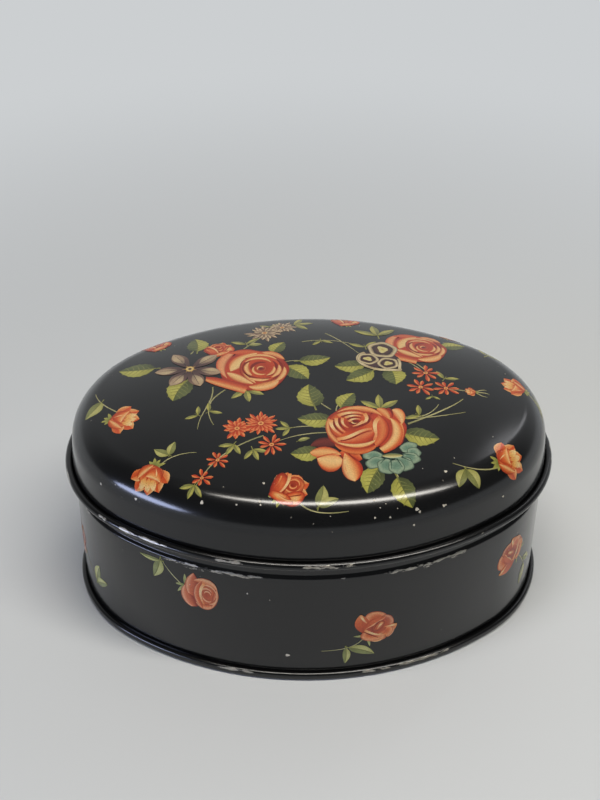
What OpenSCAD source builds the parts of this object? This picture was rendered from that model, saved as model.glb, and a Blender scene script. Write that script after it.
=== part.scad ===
// Oval slip-lid tin box: a rolled wall, a seamed-on base and a lift-off domed lid.
// Sizes are in millimetres. The origin is on the table, under the middle of the box.
// X runs along the box, Y across it and Z up.
//
// The oval is drawn with four arcs. Their centres sit on 3-4-5 triangles, so each face is a true
// arc and all the offsets of the oval share the same centres.
// A profile is drawn as (offset, height). Offset 0 is the outer face of the wall, plus is outward.

/* [Oval] */
// Outer length of the plain wall
body_length = 190; // [150:1:240]
// Outer width of the plain wall
body_width = 138; // [110:1:170]

/* [Tinplate] */
// Thickness of the tinplate
sheet = 0.35; // [0.25:0.05:0.6]
// Side clearance between the neck and the inside of the lid, at its tightest
lid_clearance = 0.4; // [0.3:0.05:1]
// Gap between two layers of a rolled seam
layer_gap = 0.1; // [0.05:0.05:0.3]

/* [Wall] */
// Height of the edge where the wall steps in to the neck
shoulder_height = 52.4; // [30:0.1:56]
// Bend radius of that step, on the middle of the sheet, where the step is deep enough
shoulder_bend = 0.85; // [0.5:0.05:2]
// Slope of the step, from upright
shoulder_slope = 45; // [30:1:60]
// Middle of the sheet in the rolled rim of the neck, as a radius
rim_radius = 1; // [0.8:0.1:1.5]
// How far around the rim is rolled
rim_turn = 300; // [200:5:310]
// Width of the lock seam down the inside of the back
lock_width = 4; // [3:0.5:8]
// How far the lock seam stands in from the wall
lock_depth = 0.6; // [0.4:0.1:1]
// How far the lock seam ends from the base panel and from the shoulder
lock_margin = 1.5; // [1:0.1:5]
// Bend radius where the wall turns out into the base seam
flange_bend = 0.6; // [0.4:0.1:1]

/* [Base] */
// Height of the rolled base seam
seam_height = 3.3; // [2.8:0.1:4.5]
// How far the base seam stands out from the wall
seam_reach = 2.3; // [2:0.1:3.5]
// Corner radius of the base seam, outside
seam_corner = 1.2; // [0.8:0.1:1.4]
// Room between the end of the wall's flange and the inside of the seam
flange_room = 0.4; // [0.2:0.1:0.6]
// Gap between the rolled-over edge and the wall
edge_gap = 0.15; // [0.1:0.05:0.4]
// Height of the middle of the raised base panel
panel_height = 3.6; // [2:0.1:6]
// Bend radius at the edge of the panel
panel_bend = 0.8; // [0.5:0.1:1.5]
// Bend radius where the sheet turns under the wall
foot_bend = 0.6; // [0.4:0.1:1]

/* [Lid] */
// Height of the centre of the rolled lid edge
curl_height = 60.2; // [57:0.1:69]
// Outer radius of the rolled lid edge
curl_radius = 1.6; // [1.2:0.1:2.2]
// Offset of the centre of the rolled lid edge
curl_offset = 1.75; // [1.3:0.05:2.5]
// How far around the lid edge is rolled
curl_turn = 305; // [220:5:310]
// Lean of the lid skirt, inward going up
skirt_lean = 4.7; // [0:0.1:7]
// Height where the skirt meets the round shoulder
skirt_top = 71.6; // [66:0.1:95]
// Outer radius of the round lid shoulder
dome_shoulder = 13.6; // [8:0.1:20]
// Slope of the crown where it meets the shoulder
crown_slope = 15; // [4:0.5:20]

/* [Hidden] */
$fn = 96;
// Steps along a small bend, a full roll, the lid shoulder and the crown
bend_steps = 4;
roll_steps = 22;
dome_steps = 12;
crown_steps = 12;
half_sheet = sheet / 2;
// Unit of the 3-4-5 triangles, and the two arc radii of the outer wall
unit = (body_length - body_width) / 4;
end_radius = body_width / 2 - unit;
side_radius = end_radius + 5 * unit;
end_centre = [3 * unit, 0];
side_centre = [0, -4 * unit];
// Direction of the line where an end arc meets a side arc, and a sweep past the middle planes.
// The two arcs overlap there by a hair, so that they always join.
meeting_angle = atan2(4, 3);
sweep = 60;
hair = 0.000001;
// End radius of the flat middle of the crown and of the base, and the flat band around it
tip_radius = 2;
tip_band = 2;
plate_steps = 16;
// Lid, on the middle of the sheet
curl_centre = [curl_offset, curl_height];
curl_mid = curl_radius - half_sheet;
lean_normal = [cos(skirt_lean), sin(skirt_lean)];
skirt_foot = curl_centre - curl_mid * lean_normal;
skirt_head = skirt_foot + (skirt_top - skirt_foot[1]) * [-tan(skirt_lean), 1];
dome_mid = dome_shoulder - half_sheet;
dome_centre = skirt_head - dome_mid * lean_normal;
crown_start = dome_centre + dome_mid * [sin(crown_slope), cos(crown_slope)];
crown_run = crown_start[0] + end_radius - tip_radius - tip_band;
crown_rise = tan(crown_slope) * crown_run / 2;
lid_top = crown_start[1] + crown_rise;
// Wall, on the middle of the sheet, with its step to the neck
neck_face = skirt_head[0] - half_sheet - lid_clearance;
neck_mid = neck_face - half_sheet;
step_in = -half_sheet - neck_mid;
step_bend = min(shoulder_bend, step_in / (2 - 2 * cos(shoulder_slope)));
step_bends = 2 * step_bend * (1 - cos(shoulder_slope));
step_run = (step_in - step_bends) / sin(shoulder_slope);
step_start = [-half_sheet - step_bend, shoulder_height - step_bend];
step_end = step_start + step_bend * [cos(shoulder_slope), sin(shoulder_slope)]
         + step_run * [-sin(shoulder_slope), cos(shoulder_slope)];
neck_foot = step_end + step_bend * [cos(shoulder_slope), sin(shoulder_slope)];
lock_length = shoulder_height - panel_height - 2 * lock_margin;
// The rim stops this far short of the round inside of the lid
rim_x = neck_mid - rim_radius;
rim_span = dome_mid - half_sheet - rim_radius - half_sheet - lid_clearance;
rim_rise = sqrt(max(0, pow(rim_span, 2) - pow(rim_x - dome_centre[0], 2)));
rim_centre = [rim_x, dome_centre[1] + rim_rise];
// Base, on the middle of the sheet
flange_z = sheet + layer_gap + half_sheet;
flange_end = seam_reach - sheet - flange_room;
chuck_mid = -sheet - layer_gap - half_sheet;
seam_bend = seam_corner - half_sheet;
seam_x = seam_reach - seam_corner;

// Points along an arc
function arc(centre, radius, from, to, steps) =
    [for (i = [0:steps]) let (a = from + (to - from) * i / steps)
        centre + radius * [cos(a), sin(a)]];

// The same points, last first
function backward(points) = [for (i = [len(points) - 1:-1:0]) points[i]];

// One face of the lid, from the free end of its roll to the middle of the crown.
// The distance d is from the middle of the sheet, plus on the outside.
function lid_face(d) = concat(
    arc(curl_centre, curl_mid - d, 180 + skirt_lean + curl_turn, 180 + skirt_lean, roll_steps),
    arc(dome_centre, dome_mid + d, skirt_lean, 90 - crown_slope, dome_steps),
    [for (i = [1:crown_steps]) let (u = i / crown_steps)
        [crown_start[0] - u * crown_run, crown_start[1] + crown_rise * u * (2 - u) + d]],
    [[tip_radius - end_radius, lid_top + d]]);

// One face of the wall, from the flange in the base seam to the rolled rim
function wall_face(d) = concat(
    [[flange_end, flange_z - d]],
    arc([flange_bend - half_sheet, flange_z + flange_bend], flange_bend + d, 270, 180, bend_steps),
    arc(step_start, step_bend - d, 0, shoulder_slope, bend_steps),
    arc(neck_foot, step_bend + d, 180 + shoulder_slope, 180, bend_steps),
    arc(rim_centre, rim_radius - d, 0, rim_turn, roll_steps));

// One face of the base, from the edge over the flange to the middle of the panel
function base_face(d) = concat(
    [[edge_gap, seam_height - half_sheet + d]],
    arc([seam_x, seam_height - seam_corner], seam_bend + d, 90, 0, bend_steps),
    arc([seam_x, seam_corner], seam_bend + d, 0, -90, bend_steps),
    arc([chuck_mid + foot_bend, half_sheet + foot_bend], foot_bend + d, 270, 180, bend_steps),
    arc([chuck_mid - panel_bend, panel_height - panel_bend], panel_bend - d, 0, 90, bend_steps),
    [[tip_radius - end_radius, panel_height - d]]);

// One quarter of the oval. Both arcs start at the line where they meet, and are cut off at the
// middle planes.
module quarter() {
    intersection() {
        union() {
            translate(end_centre) rotate(meeting_angle + hair) mirror([0, 1, 0])
                rotate_extrude(angle = sweep) translate([end_radius, 0]) children();
            translate(side_centre) rotate(meeting_angle - hair)
                rotate_extrude(angle = sweep) translate([side_radius, 0]) children();
        }
        translate([0, 0, -body_length]) cube(2 * body_length);
    }
}

// Sweeps a profile of offsets around the oval
module around_oval() {
    for (along = [0, 1], across = [0, 1])
        mirror([along, 0, 0]) mirror([0, across, 0]) quarter() children();
}

// The flat middle of a panel, which reaches halfway into the flat band around it
module middle_plate(height) {
    edge = tip_radius + tip_band / 2;
    translate([0, 0, height - half_sheet])
        linear_extrude(sheet)
            polygon(concat(
                arc(end_centre, edge, -meeting_angle, meeting_angle, plate_steps),
                arc(side_centre, 5 * unit + edge, meeting_angle, 180 - meeting_angle, plate_steps),
                arc(-end_centre, edge, 180 - meeting_angle, 180 + meeting_angle, plate_steps),
                arc(-side_centre, 5 * unit + edge, 180 + meeting_angle, 360 - meeting_angle, plate_steps)));
}

// Wall strip with its neck, rolled rim, base flange and lock seam
module body_wall() {
    color("#1b1a1c") {
        around_oval() polygon(concat(wall_face(half_sheet), backward(wall_face(-half_sheet))));
        translate([-lock_width / 2, body_width / 2 - sheet - lock_depth, panel_height + lock_margin])
            cube([lock_width, lock_depth + half_sheet, lock_length]);
    }
}

// Base with its raised panel, rolled over the flange of the wall
module base_panel() {
    color("#2a292b") {
        around_oval() polygon(concat(base_face(half_sheet), backward(base_face(-half_sheet))));
        middle_plate(panel_height);
    }
}

// Lid with its rolled edge, skirt, round shoulder and crown
module lid() {
    color("#141315") {
        around_oval() polygon(concat(lid_face(half_sheet), backward(lid_face(-half_sheet))));
        middle_plate(lid_top);
    }
}

body_wall();
base_panel();
lid();
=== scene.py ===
"""Oval slip-lid tin box: lacquered sheet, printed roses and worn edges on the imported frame.

Sizes in the classes are millimetres, and meshes are written in metres. A sheet's profile lies in the
plane of (offset, height), where offset is measured outward from the face of the plain wall. A printed
figure is drawn about its own origin, with points and widths in hundredths of its size.
"""
import logging
from dataclasses import dataclass, field
from enum import Enum
from functools import partial
from math import comb
from typing import Any, Callable, Iterable, Sequence

import bpy
import numpy as np
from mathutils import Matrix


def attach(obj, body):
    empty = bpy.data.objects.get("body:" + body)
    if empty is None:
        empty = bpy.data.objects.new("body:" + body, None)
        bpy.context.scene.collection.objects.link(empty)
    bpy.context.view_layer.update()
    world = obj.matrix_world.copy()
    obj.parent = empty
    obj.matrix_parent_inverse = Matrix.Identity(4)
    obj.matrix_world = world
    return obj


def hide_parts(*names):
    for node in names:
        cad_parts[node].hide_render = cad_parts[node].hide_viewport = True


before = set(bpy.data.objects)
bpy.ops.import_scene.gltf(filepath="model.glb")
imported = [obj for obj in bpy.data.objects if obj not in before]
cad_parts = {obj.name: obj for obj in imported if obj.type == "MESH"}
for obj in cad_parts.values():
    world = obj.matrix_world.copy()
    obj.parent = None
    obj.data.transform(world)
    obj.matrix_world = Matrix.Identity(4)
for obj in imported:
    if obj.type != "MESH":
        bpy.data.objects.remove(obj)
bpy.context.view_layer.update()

LOG = logging.getLogger("tin_box")
MM = 0.001
Add = Callable[..., bpy.types.Node]
Point = tuple[float, float]


class Body(Enum):
    """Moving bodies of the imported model."""

    BOX = "box"
    LID = "lid"


class Side(Enum):
    """Face of a sheet, as the sign of its distance from the middle of the sheet."""

    OUTSIDE = 1
    INSIDE = -1


def linear(colour: str) -> np.ndarray:
    """Turn an sRGB hex colour into linear light.

    Args:
        colour: Hex colour such as "#1a2b3c".

    Returns:
        Linear red, green, blue and an alpha of 1.
    """
    srgb = np.array([int(colour[i:i + 2], 16) for i in (1, 3, 5)]) / 255.0
    light = np.where(srgb <= 0.04045, srgb / 12.92, ((srgb + 0.055) / 1.055) ** 2.4)
    return np.append(light, 1.0)


def add_node(tree: bpy.types.NodeTree, kind: str, settings: dict[str, Any] | None = None,
             inputs: dict[Any, Any] | None = None) -> bpy.types.Node:
    """Add one shader node with its settings, and link or set its inputs.

    Args:
        tree: Node tree that gets the node.
        kind: Blender type name of the node after "ShaderNode".
        settings: Properties of the node.
        inputs: Input name or index to a socket or a node, whose first result is linked, or to a value.

    Returns:
        The new node.
    """
    node = tree.nodes.new("ShaderNode" + kind)
    for name, value in (settings or {}).items():
        setattr(node, name, value)
    for name, value in (inputs or {}).items():
        if isinstance(value, bpy.types.Node):
            value = next(socket for socket in value.outputs if socket.enabled)
        if isinstance(value, bpy.types.NodeSocket):
            tree.links.new(value, node.inputs[name])
        else:
            node.inputs[name].default_value = value
    return node


def new_material(name: str) -> tuple[bpy.types.Material, Add, bpy.types.NodeSocket]:
    """Make an empty node material.

    Args:
        name: Name of the material.

    Returns:
        The material, a function that adds a node to it, and its Object coordinates.
    """
    material = bpy.data.materials.new(name)
    material.use_nodes = True
    material.node_tree.nodes.clear()
    add = partial(add_node, material.node_tree)
    return material, add, add("TexCoord").outputs["Object"]


def backdrop_rays(add: Add) -> bpy.types.Node:
    """One for the rays that show a backdrop, from the camera or off gloss, and none for its light."""
    path = add("LightPath")
    return add("Math", {"operation": "ADD", "use_clamp": True}, {
        0: path.outputs["Is Camera Ray"], 1: path.outputs["Is Glossy Ray"]})


@dataclass(frozen=True)
class BlackLacquer:
    """Gloss black stoving lacquer on tinplate, rolled on flat before the sheet is pressed.

    To the eye it is near black with a sharp clear reflection, a faint haze of fine rubbing marks, and
    bright bare tin where the bends have been knocked.
    """

    colour: str = "#060606"
    haze: str = "#0e0e0f"
    bare: str = "#c2bfb4"
    rust: str = "#7f7768"
    haze_size: float = 14.0
    chip_size: float = 1.7
    chip_stretch: float = 3.5
    grime_size: float = 0.7
    chip_depth: float = 0.05
    roughness: float = 0.3
    bare_roughness: float = 0.4
    bare_shine: float = 0.6
    coat_roughness: float = 0.16

    def make(self) -> bpy.types.Material:
        """Build the lacquer, which gives way to bare tin where the piece's wear attribute is high.

        Returns:
            The material.
        """
        material, add, place = new_material("gloss_black_stoving_lacquer")
        haze = add("TexNoise", inputs={
            "Vector": place, "Scale": 1 / (self.haze_size * MM), "Detail": 5.0, "Roughness": 0.6})
        ground = add("Mix", {"data_type": "RGBA"}, {
            "Factor": haze, 6: linear(self.colour), 7: linear(self.haze)})
        rolled = add("Attribute", {"attribute_name": "rolled"}).outputs["Vector"]
        drawn = add("Mapping", inputs={"Vector": rolled, "Scale": (1 / self.chip_stretch, 1.0, 1.0)})
        chips = add("TexNoise", inputs={
            "Vector": drawn, "Scale": 1 / (self.chip_size * MM), "Detail": 6.0, "Roughness": 0.7})
        wear = add("Attribute", {"attribute_name": "wear"}).outputs["Fac"]
        edge = add("Math", {"operation": "ADD"}, {0: wear, 1: chips})
        worn = add("MapRange", {"interpolation_type": "SMOOTHSTEP"}, {
            "Value": edge, "From Min": 1.0, "From Max": 1.06})
        grime = add("TexNoise", inputs={"Vector": place, "Scale": 1 / (self.grime_size * MM), "Detail": 3.0})
        metal = add("Mix", {"data_type": "RGBA"}, {
            "Factor": grime, 6: linear(self.bare), 7: linear(self.rust)})
        colour = add("Mix", {"data_type": "RGBA"}, {"Factor": worn, 6: ground, 7: metal})
        rough = add("MapRange", inputs={
            "Value": worn, "To Min": self.roughness, "To Max": self.bare_roughness})
        tin = add("Math", {"operation": "MULTIPLY"}, {0: worn, 1: self.bare_shine})
        sunk = add("Math", {"operation": "MULTIPLY"}, {0: worn, 1: -1.0})
        bump = add("Bump", inputs={"Strength": 0.6, "Distance": self.chip_depth * MM, "Height": sunk})
        surface = add("BsdfPrincipled", inputs={
            "Base Color": colour, "Metallic": tin, "Roughness": rough, "Specular IOR Level": 0.04,
            "Coat Weight": 1.0, "Coat Roughness": self.coat_roughness, "Normal": bump})
        add("OutputMaterial", inputs={"Surface": surface})
        return material


@dataclass(frozen=True)
class BareTinplate:
    """Bare tinplate, hot-dipped and rolled, as on the inside of a printed tin.

    To the eye it is a soft silver grey with fine rolling lines and a few dull, yellowed patches.
    """

    colour: str = "#d9d7d1"
    tarnish: str = "#b3aa95"
    patch_size: float = 35.0
    line_pitch: float = 0.6
    line_stretch: tuple[float, float, float] = (0.03, 1.0, 1.0)
    line_depth: float = 0.01

    def make(self) -> bpy.types.Material:
        """Build the bare metal with rolling lines along X and cloudy tarnish.

        Returns:
            The material.
        """
        material, add, place = new_material("bare_tinplate")
        cloud = add("TexNoise", inputs={
            "Vector": place, "Scale": 1 / (self.patch_size * MM), "Detail": 5.0, "Roughness": 0.62})
        patch = add("MapRange", {"interpolation_type": "SMOOTHSTEP"}, {
            "Value": cloud, "From Min": 0.42, "From Max": 0.72})
        colour = add("Mix", {"data_type": "RGBA"}, {
            "Factor": patch, 6: linear(self.colour), 7: linear(self.tarnish)})
        drawn = add("Mapping", inputs={"Vector": place, "Scale": self.line_stretch})
        lines = add("TexNoise", inputs={"Vector": drawn, "Scale": 1 / (self.line_pitch * MM), "Detail": 3.0})
        rough = add("MapRange", inputs={"Value": lines, "To Min": 0.3, "To Max": 0.5})
        bump = add("Bump", inputs={"Strength": 0.25, "Distance": self.line_depth * MM, "Height": lines})
        surface = add("BsdfPrincipled", inputs={
            "Base Color": colour, "Metallic": 1.0, "Roughness": rough, "Normal": bump})
        add("OutputMaterial", inputs={"Surface": surface})
        return material


@dataclass(frozen=True)
class PrintedInk:
    """Lithographed ink in many colours under clear varnish.

    To the eye it is as glossy as the lacquer round it, with a fine grain of printing dots. The dots are
    drawn coarser than the real ones, so that they show.
    """

    dot_size: float = 0.45
    roughness: float = 0.4
    coat_roughness: float = 0.16

    def make(self) -> bpy.types.Material:
        """Build the ink, whose colour is the piece's own ink attribute.

        Returns:
            The material.
        """
        material, add, place = new_material("varnished_lithograph_ink")
        ink = add("Attribute", {"attribute_name": "ink"}).outputs["Color"]
        dots = add("TexNoise", inputs={"Vector": place, "Scale": 1 / (self.dot_size * MM), "Detail": 2.0})
        grain = add("MapRange", inputs={
            "Value": dots, "From Min": 0.3, "From Max": 0.7, "To Min": 0.8, "To Max": 1.12})
        colour = add("VectorMath", {"operation": "SCALE"}, {0: ink, "Scale": grain})
        surface = add("BsdfPrincipled", inputs={
            "Base Color": colour, "Roughness": self.roughness, "Specular IOR Level": 0.0,
            "Coat Weight": 1.0, "Coat Roughness": self.coat_roughness})
        add("OutputMaterial", inputs={"Surface": surface})
        return material


@dataclass(frozen=True)
class FlakedTin:
    """Small spot of tinplate where the lacquer has flaked off, dulled by handling.

    To the eye it is a pale warm dot without a clear reflection.
    """

    colour: str = "#dbd6c8"
    dull: str = "#a79f8e"
    grain_size: float = 0.5

    def make(self) -> bpy.types.Material:
        """Build dull pale metal with a mottled colour.

        Returns:
            The material.
        """
        material, add, place = new_material("flaked_dull_tin")
        grain = add("TexNoise", inputs={"Vector": place, "Scale": 1 / (self.grain_size * MM), "Detail": 2.0})
        colour = add("Mix", {"data_type": "RGBA"}, {
            "Factor": grain, 6: linear(self.colour), 7: linear(self.dull)})
        surface = add("BsdfPrincipled", inputs={"Base Color": colour, "Metallic": 0.3, "Roughness": 0.55})
        add("OutputMaterial", inputs={"Surface": surface})
        return material


@dataclass(frozen=True)
class PaintedTable:
    """Pale matt painted board that the tin stands on, which runs into an even pale backdrop."""

    colour: str = "#cfd2d3"
    backdrop: str = "#cccfd1"
    near: float = 130.0
    far: float = 560.0

    def make(self) -> bpy.types.Material:
        """Build a plain matt paint that fades to the backdrop with the distance from the tin.

        Returns:
            The material.
        """
        material, add, place = new_material("pale_matt_table_paint")
        away = add("VectorMath", {"operation": "LENGTH"}, {0: place})
        fade = add("MapRange", {"interpolation_type": "SMOOTHSTEP"}, {
            "Value": away, "From Min": self.near * MM, "From Max": self.far * MM})
        share = add("Math", {"operation": "MULTIPLY"}, {0: fade, 1: backdrop_rays(add)})
        paint = add("BsdfPrincipled", inputs={"Base Color": linear(self.colour), "Roughness": 0.7})
        even = add("Emission", inputs={"Color": linear(self.backdrop)})
        surface = add("MixShader", inputs={0: share, 1: paint, 2: even})
        add("OutputMaterial", inputs={"Surface": surface})
        return material


@dataclass(frozen=True)
class Oval:
    """Oval of four arcs whose centres sit on 3-4-5 triangles, so all its offsets share the centres."""

    length: float = 190.0
    width: float = 138.0

    @property
    def unit(self) -> float:
        """Unit of the 3-4-5 triangles."""
        return (self.length - self.width) / 4

    @property
    def end_radius(self) -> float:
        """Radius of the two end arcs."""
        return self.width / 2 - self.unit

    @property
    def side_radius(self) -> float:
        """Radius of the two side arcs."""
        return self.end_radius + 5 * self.unit

    def ring(self, angle: np.ndarray, offset: np.ndarray) -> tuple[np.ndarray, np.ndarray]:
        """Points of the oval with a given outward direction.

        A point is an arc's centre plus (radius + offset) times its direction. Directions that rise less
        than 4 in 3 belong to an end arc, the rest to a side arc.

        Args:
            angle: Outward direction in radians, from +X towards +Y.
            offset: Distance outward from the plain wall.

        Returns:
            X and Y of the points.
        """
        cos, sin = np.cos(angle), np.sin(angle)
        at_end = 3 * np.abs(sin) <= 4 * np.abs(cos)
        radius = np.where(at_end, self.end_radius, self.side_radius) + offset
        x = np.where(at_end, 3 * self.unit * np.sign(cos), 0.0) + radius * cos
        y = np.where(at_end, 0.0, -4 * self.unit * np.sign(sin)) + radius * sin
        return x, y

    def locate(self, x: np.ndarray, y: np.ndarray) -> tuple[np.ndarray, np.ndarray]:
        """Offset and outward direction of points in plan, the reverse of ring.

        Args:
            x: Places along the box.
            y: Places across the box.

        Returns:
            Offsets, and directions in radians.
        """
        ax, ay = np.abs(x), np.abs(y)
        at_end = 3 * ay <= 4 * (ax - 3 * self.unit)
        dx = np.where(at_end, ax - 3 * self.unit, ax)
        dy = np.where(at_end, ay, ay + 4 * self.unit)
        offset = np.hypot(dx, dy) - np.where(at_end, self.end_radius, self.side_radius)
        return offset, np.arctan2(np.copysign(dy, y), np.copysign(dx, x))

    def milestones(self) -> tuple[np.ndarray, np.ndarray]:
        """Where the arcs of the plain wall meet, on the way from the middle of the front.

        Returns:
            Runs along the wall, and the turns there in radians.
        """
        turn = np.arctan2(3.0, 4.0)
        side, end = turn * self.side_radius, (np.pi / 2 - turn) * self.end_radius
        return np.cumsum([0, side, 2 * end, 2 * side]), np.array([0, turn, np.pi - turn, np.pi + turn])

    def direction(self, run: np.ndarray) -> np.ndarray:
        """Outward direction after a run along the plain wall from the middle of the front, plus to +X."""
        return np.sign(run) * np.interp(np.abs(run), *self.milestones()) - np.pi / 2

    def run(self, direction: np.ndarray) -> np.ndarray:
        """Run along the plain wall to an outward direction, the reverse of direction.

        Args:
            direction: Directions in radians.

        Returns:
            Lengths along the wall from the middle of the front.
        """
        turn = (direction + 1.5 * np.pi) % (2 * np.pi) - np.pi
        runs, turns = self.milestones()
        return np.sign(turn) * np.interp(np.abs(turn), turns, runs)

    def columns(self, count: int) -> np.ndarray:
        """Directions about evenly spaced along the wall, from +X and the same on both sides of X.

        Args:
            count: Number of directions, a multiple of four.

        Returns:
            Directions in radians, all the way round.
        """
        turn = np.arctan2(4.0, 3.0)
        end, side = turn * self.end_radius, (np.pi / 2 - turn) * self.side_radius
        step = np.linspace(0, end + side, count // 4 + 1)
        first = np.interp(step, [0, end, end + side], [0, turn, np.pi / 2])
        half = np.concatenate([first, np.pi - first[-2::-1]])
        return np.concatenate([half, 2 * np.pi - half[-2:0:-1]])


def arc(centre: np.ndarray, radius: float, start: float, stop: float, steps: int) -> np.ndarray:
    """Points along an arc in a profile.

    Args:
        centre: Offset and height of the centre.
        radius: Radius of the arc.
        start: First direction in degrees.
        stop: Last direction in degrees.
        steps: Number of steps.

    Returns:
        Points as rows of offset and height.
    """
    turn = np.radians(np.linspace(start, stop, steps + 1))[:, None]
    return np.asarray(centre) + radius * np.hstack([np.cos(turn), np.sin(turn)])


def line(start: np.ndarray, stop: np.ndarray, steps: int) -> np.ndarray:
    """Points inside a straight stretch of a profile, without its ends."""
    part = np.linspace(0, 1, steps + 1)[1:-1, None]
    return np.asarray(start) * (1 - part) + np.asarray(stop) * part


@dataclass
class Patch:
    """A flat printed shape: a grid of points with an ink colour at each.

    Attributes:
        points: Rows by columns by XY.
        inks: Rows by columns by linear red, green and blue.
    """

    points: np.ndarray
    inks: np.ndarray

    def placed(self, place: Point, size: float, turn: float, mirror: bool = False) -> "Patch":
        """The same shape scaled, turned and moved.

        Args:
            place: Where its origin goes.
            size: Scale.
            turn: Turn in degrees, counterclockwise.
            mirror: Whether left and right are swapped first.

        Returns:
            The placed shape.
        """
        cos, sin = np.cos(np.radians(turn)), np.sin(np.radians(turn))
        x, y = size * (-1 if mirror else 1) * self.points[..., 0], size * self.points[..., 1]
        return Patch(np.stack([place[0] + cos * x - sin * y, place[1] + sin * x + cos * y], -1), self.inks)


def at(*flat: float) -> np.ndarray:
    """Points from their X and Y in hundredths, as rows of XY."""
    return np.array(flat, float).reshape(-1, 2) / 100


def shade(value: np.ndarray, blend: str) -> np.ndarray:
    """Blend inks along a value.

    Args:
        value: Numbers from 0 to 1.
        blend: Hex colours from 0 to 1, such as "#000000 40 #505050 #ffffff", with its place in hundredths
            before each one that is between the ends.

    Returns:
        Linear colours, one for each number.
    """
    first, *middle, last = blend.split()
    places = [0.0, *(float(place) / 100 for place in middle[::2]), 1.0]
    inks = np.array([linear(colour)[:3] for colour in (first, *middle[1::2], last)])
    return np.stack([np.interp(value, places, inks[:, k]) for k in range(3)], -1)


def blob(x: float, y: float, wide: float, high: float, turn: float, blend: str, lean: Point = (0, 0),
         lobes: int = 0, depth: float = 0, grid: int = 8) -> Patch:
    """A rounded spot of ink.

    A square grid is pressed into a disc, stretched to the two half sizes and waved along its edge. The
    ink follows the distance from a spot that leans off the middle.

    Args:
        x: Place of the middle.
        y: Place of the middle.
        wide: Half width before turning.
        high: Half height before turning.
        turn: Turn in degrees.
        blend: Inks from the middle to the edge.
        lean: Shift of the middle ink, in hundredths of the half sizes.
        lobes: Number of waves along the edge.
        depth: Depth of the waves.
        grid: Steps across the spot.

    Returns:
        The shape.
    """
    u, v = np.meshgrid(np.linspace(-1, 1, grid + 1), np.linspace(-1, 1, grid + 1))
    p, q = u * np.sqrt(1 - v * v / 2), v * np.sqrt(1 - u * u / 2)
    r = np.minimum(np.hypot(p, q), 1.0)
    wave = 1 + depth / 100 * r * np.cos(lobes * np.arctan2(q, p))
    inks = shade(np.hypot(p - lean[0] / 100 * (1 - r), q - lean[1] / 100 * (1 - r)), blend)
    flat = np.stack([wide / 100 * p * wave, high / 100 * q * wave], -1)
    return Patch(flat, inks).placed((x / 100, y / 100), 1.0, turn)


def crescent(x: float, y: float, radius: float, start: float, span: float, width: float, blend: str,
             squeeze: float = 1.0, growth: float = 0, steps: int = 14) -> Patch:
    """A petal edge: a curved stroke with thin ends, round a centre.

    Args:
        x: Place of the centre.
        y: Place of the centre.
        radius: Radius at the start.
        start: First direction in degrees.
        span: Turn of the stroke in degrees.
        width: Width in the middle.
        blend: Inks from the inner to the outer edge.
        squeeze: Height of the curve against its width.
        growth: Gain of the radius along the stroke.
        steps: Steps along the stroke.

    Returns:
        The shape.
    """
    t, s = np.linspace(0.01, 0.99, steps + 1)[:, None], np.linspace(0, 1, 4)[None, :]
    angle = np.radians(start + span * t)
    r = radius / 100 + growth / 100 * t + width / 100 * np.sin(np.pi * t) ** 0.7 * (s - 0.5)
    points = np.stack([x / 100 + r * np.cos(angle), y / 100 + squeeze * r * np.sin(angle)], -1)
    return Patch(points, np.broadcast_to(shade(s, blend), points.shape[:2] + (3,)))


def curve(way: np.ndarray, t: np.ndarray) -> np.ndarray:
    """Points of a Bezier curve with the given control points, as rows of XY."""
    n = len(way) - 1
    return np.stack([comb(n, k) * t ** k * (1 - t) ** (n - k) for k in range(n + 1)], -1) @ way


def petal(one: np.ndarray, other: np.ndarray, blend: str, steps: int = 12) -> Patch:
    """A petal between two Bezier edges.

    Args:
        one: Control points of the first edge.
        other: Control points of the second edge, from the same end.
        blend: Inks from the first edge to the second.
        steps: Steps along the edges.

    Returns:
        The shape.
    """
    t, s = np.linspace(0, 1, steps + 1), np.linspace(0, 1, 8)[None, :, None]
    points = curve(one, t)[:, None, :] * (1 - s) + curve(other, t)[:, None, :] * s
    return Patch(points, np.broadcast_to(shade(s[..., 0], blend), points.shape[:2] + (3,)))


def stroke(way: np.ndarray, width: float, blend: str, tail: float = 0.4, steps: int = 14) -> Patch:
    """A brush line along a Bezier curve.

    Args:
        way: Control points of the curve.
        width: Width at the start.
        blend: Inks along the line.
        tail: Width at the end, as a share of the start.
        steps: Steps along the line.

    Returns:
        The shape.
    """
    t = np.linspace(0, 1, steps + 1)
    spine = curve(way, t)
    along = np.gradient(spine, axis=0)
    side = np.stack([-along[:, 1], along[:, 0]], -1) / np.hypot(along[:, 0], along[:, 1])[:, None]
    half = (width / 200 * (1 - (1 - tail) * t))[:, None, None] * np.array([-1.0, 1.0])[None, :, None]
    points = spine[:, None, :] + half * side[:, None, :]
    return Patch(points, np.broadcast_to(shade(t, blend)[:, None, :], points.shape[:2] + (3,)))


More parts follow.
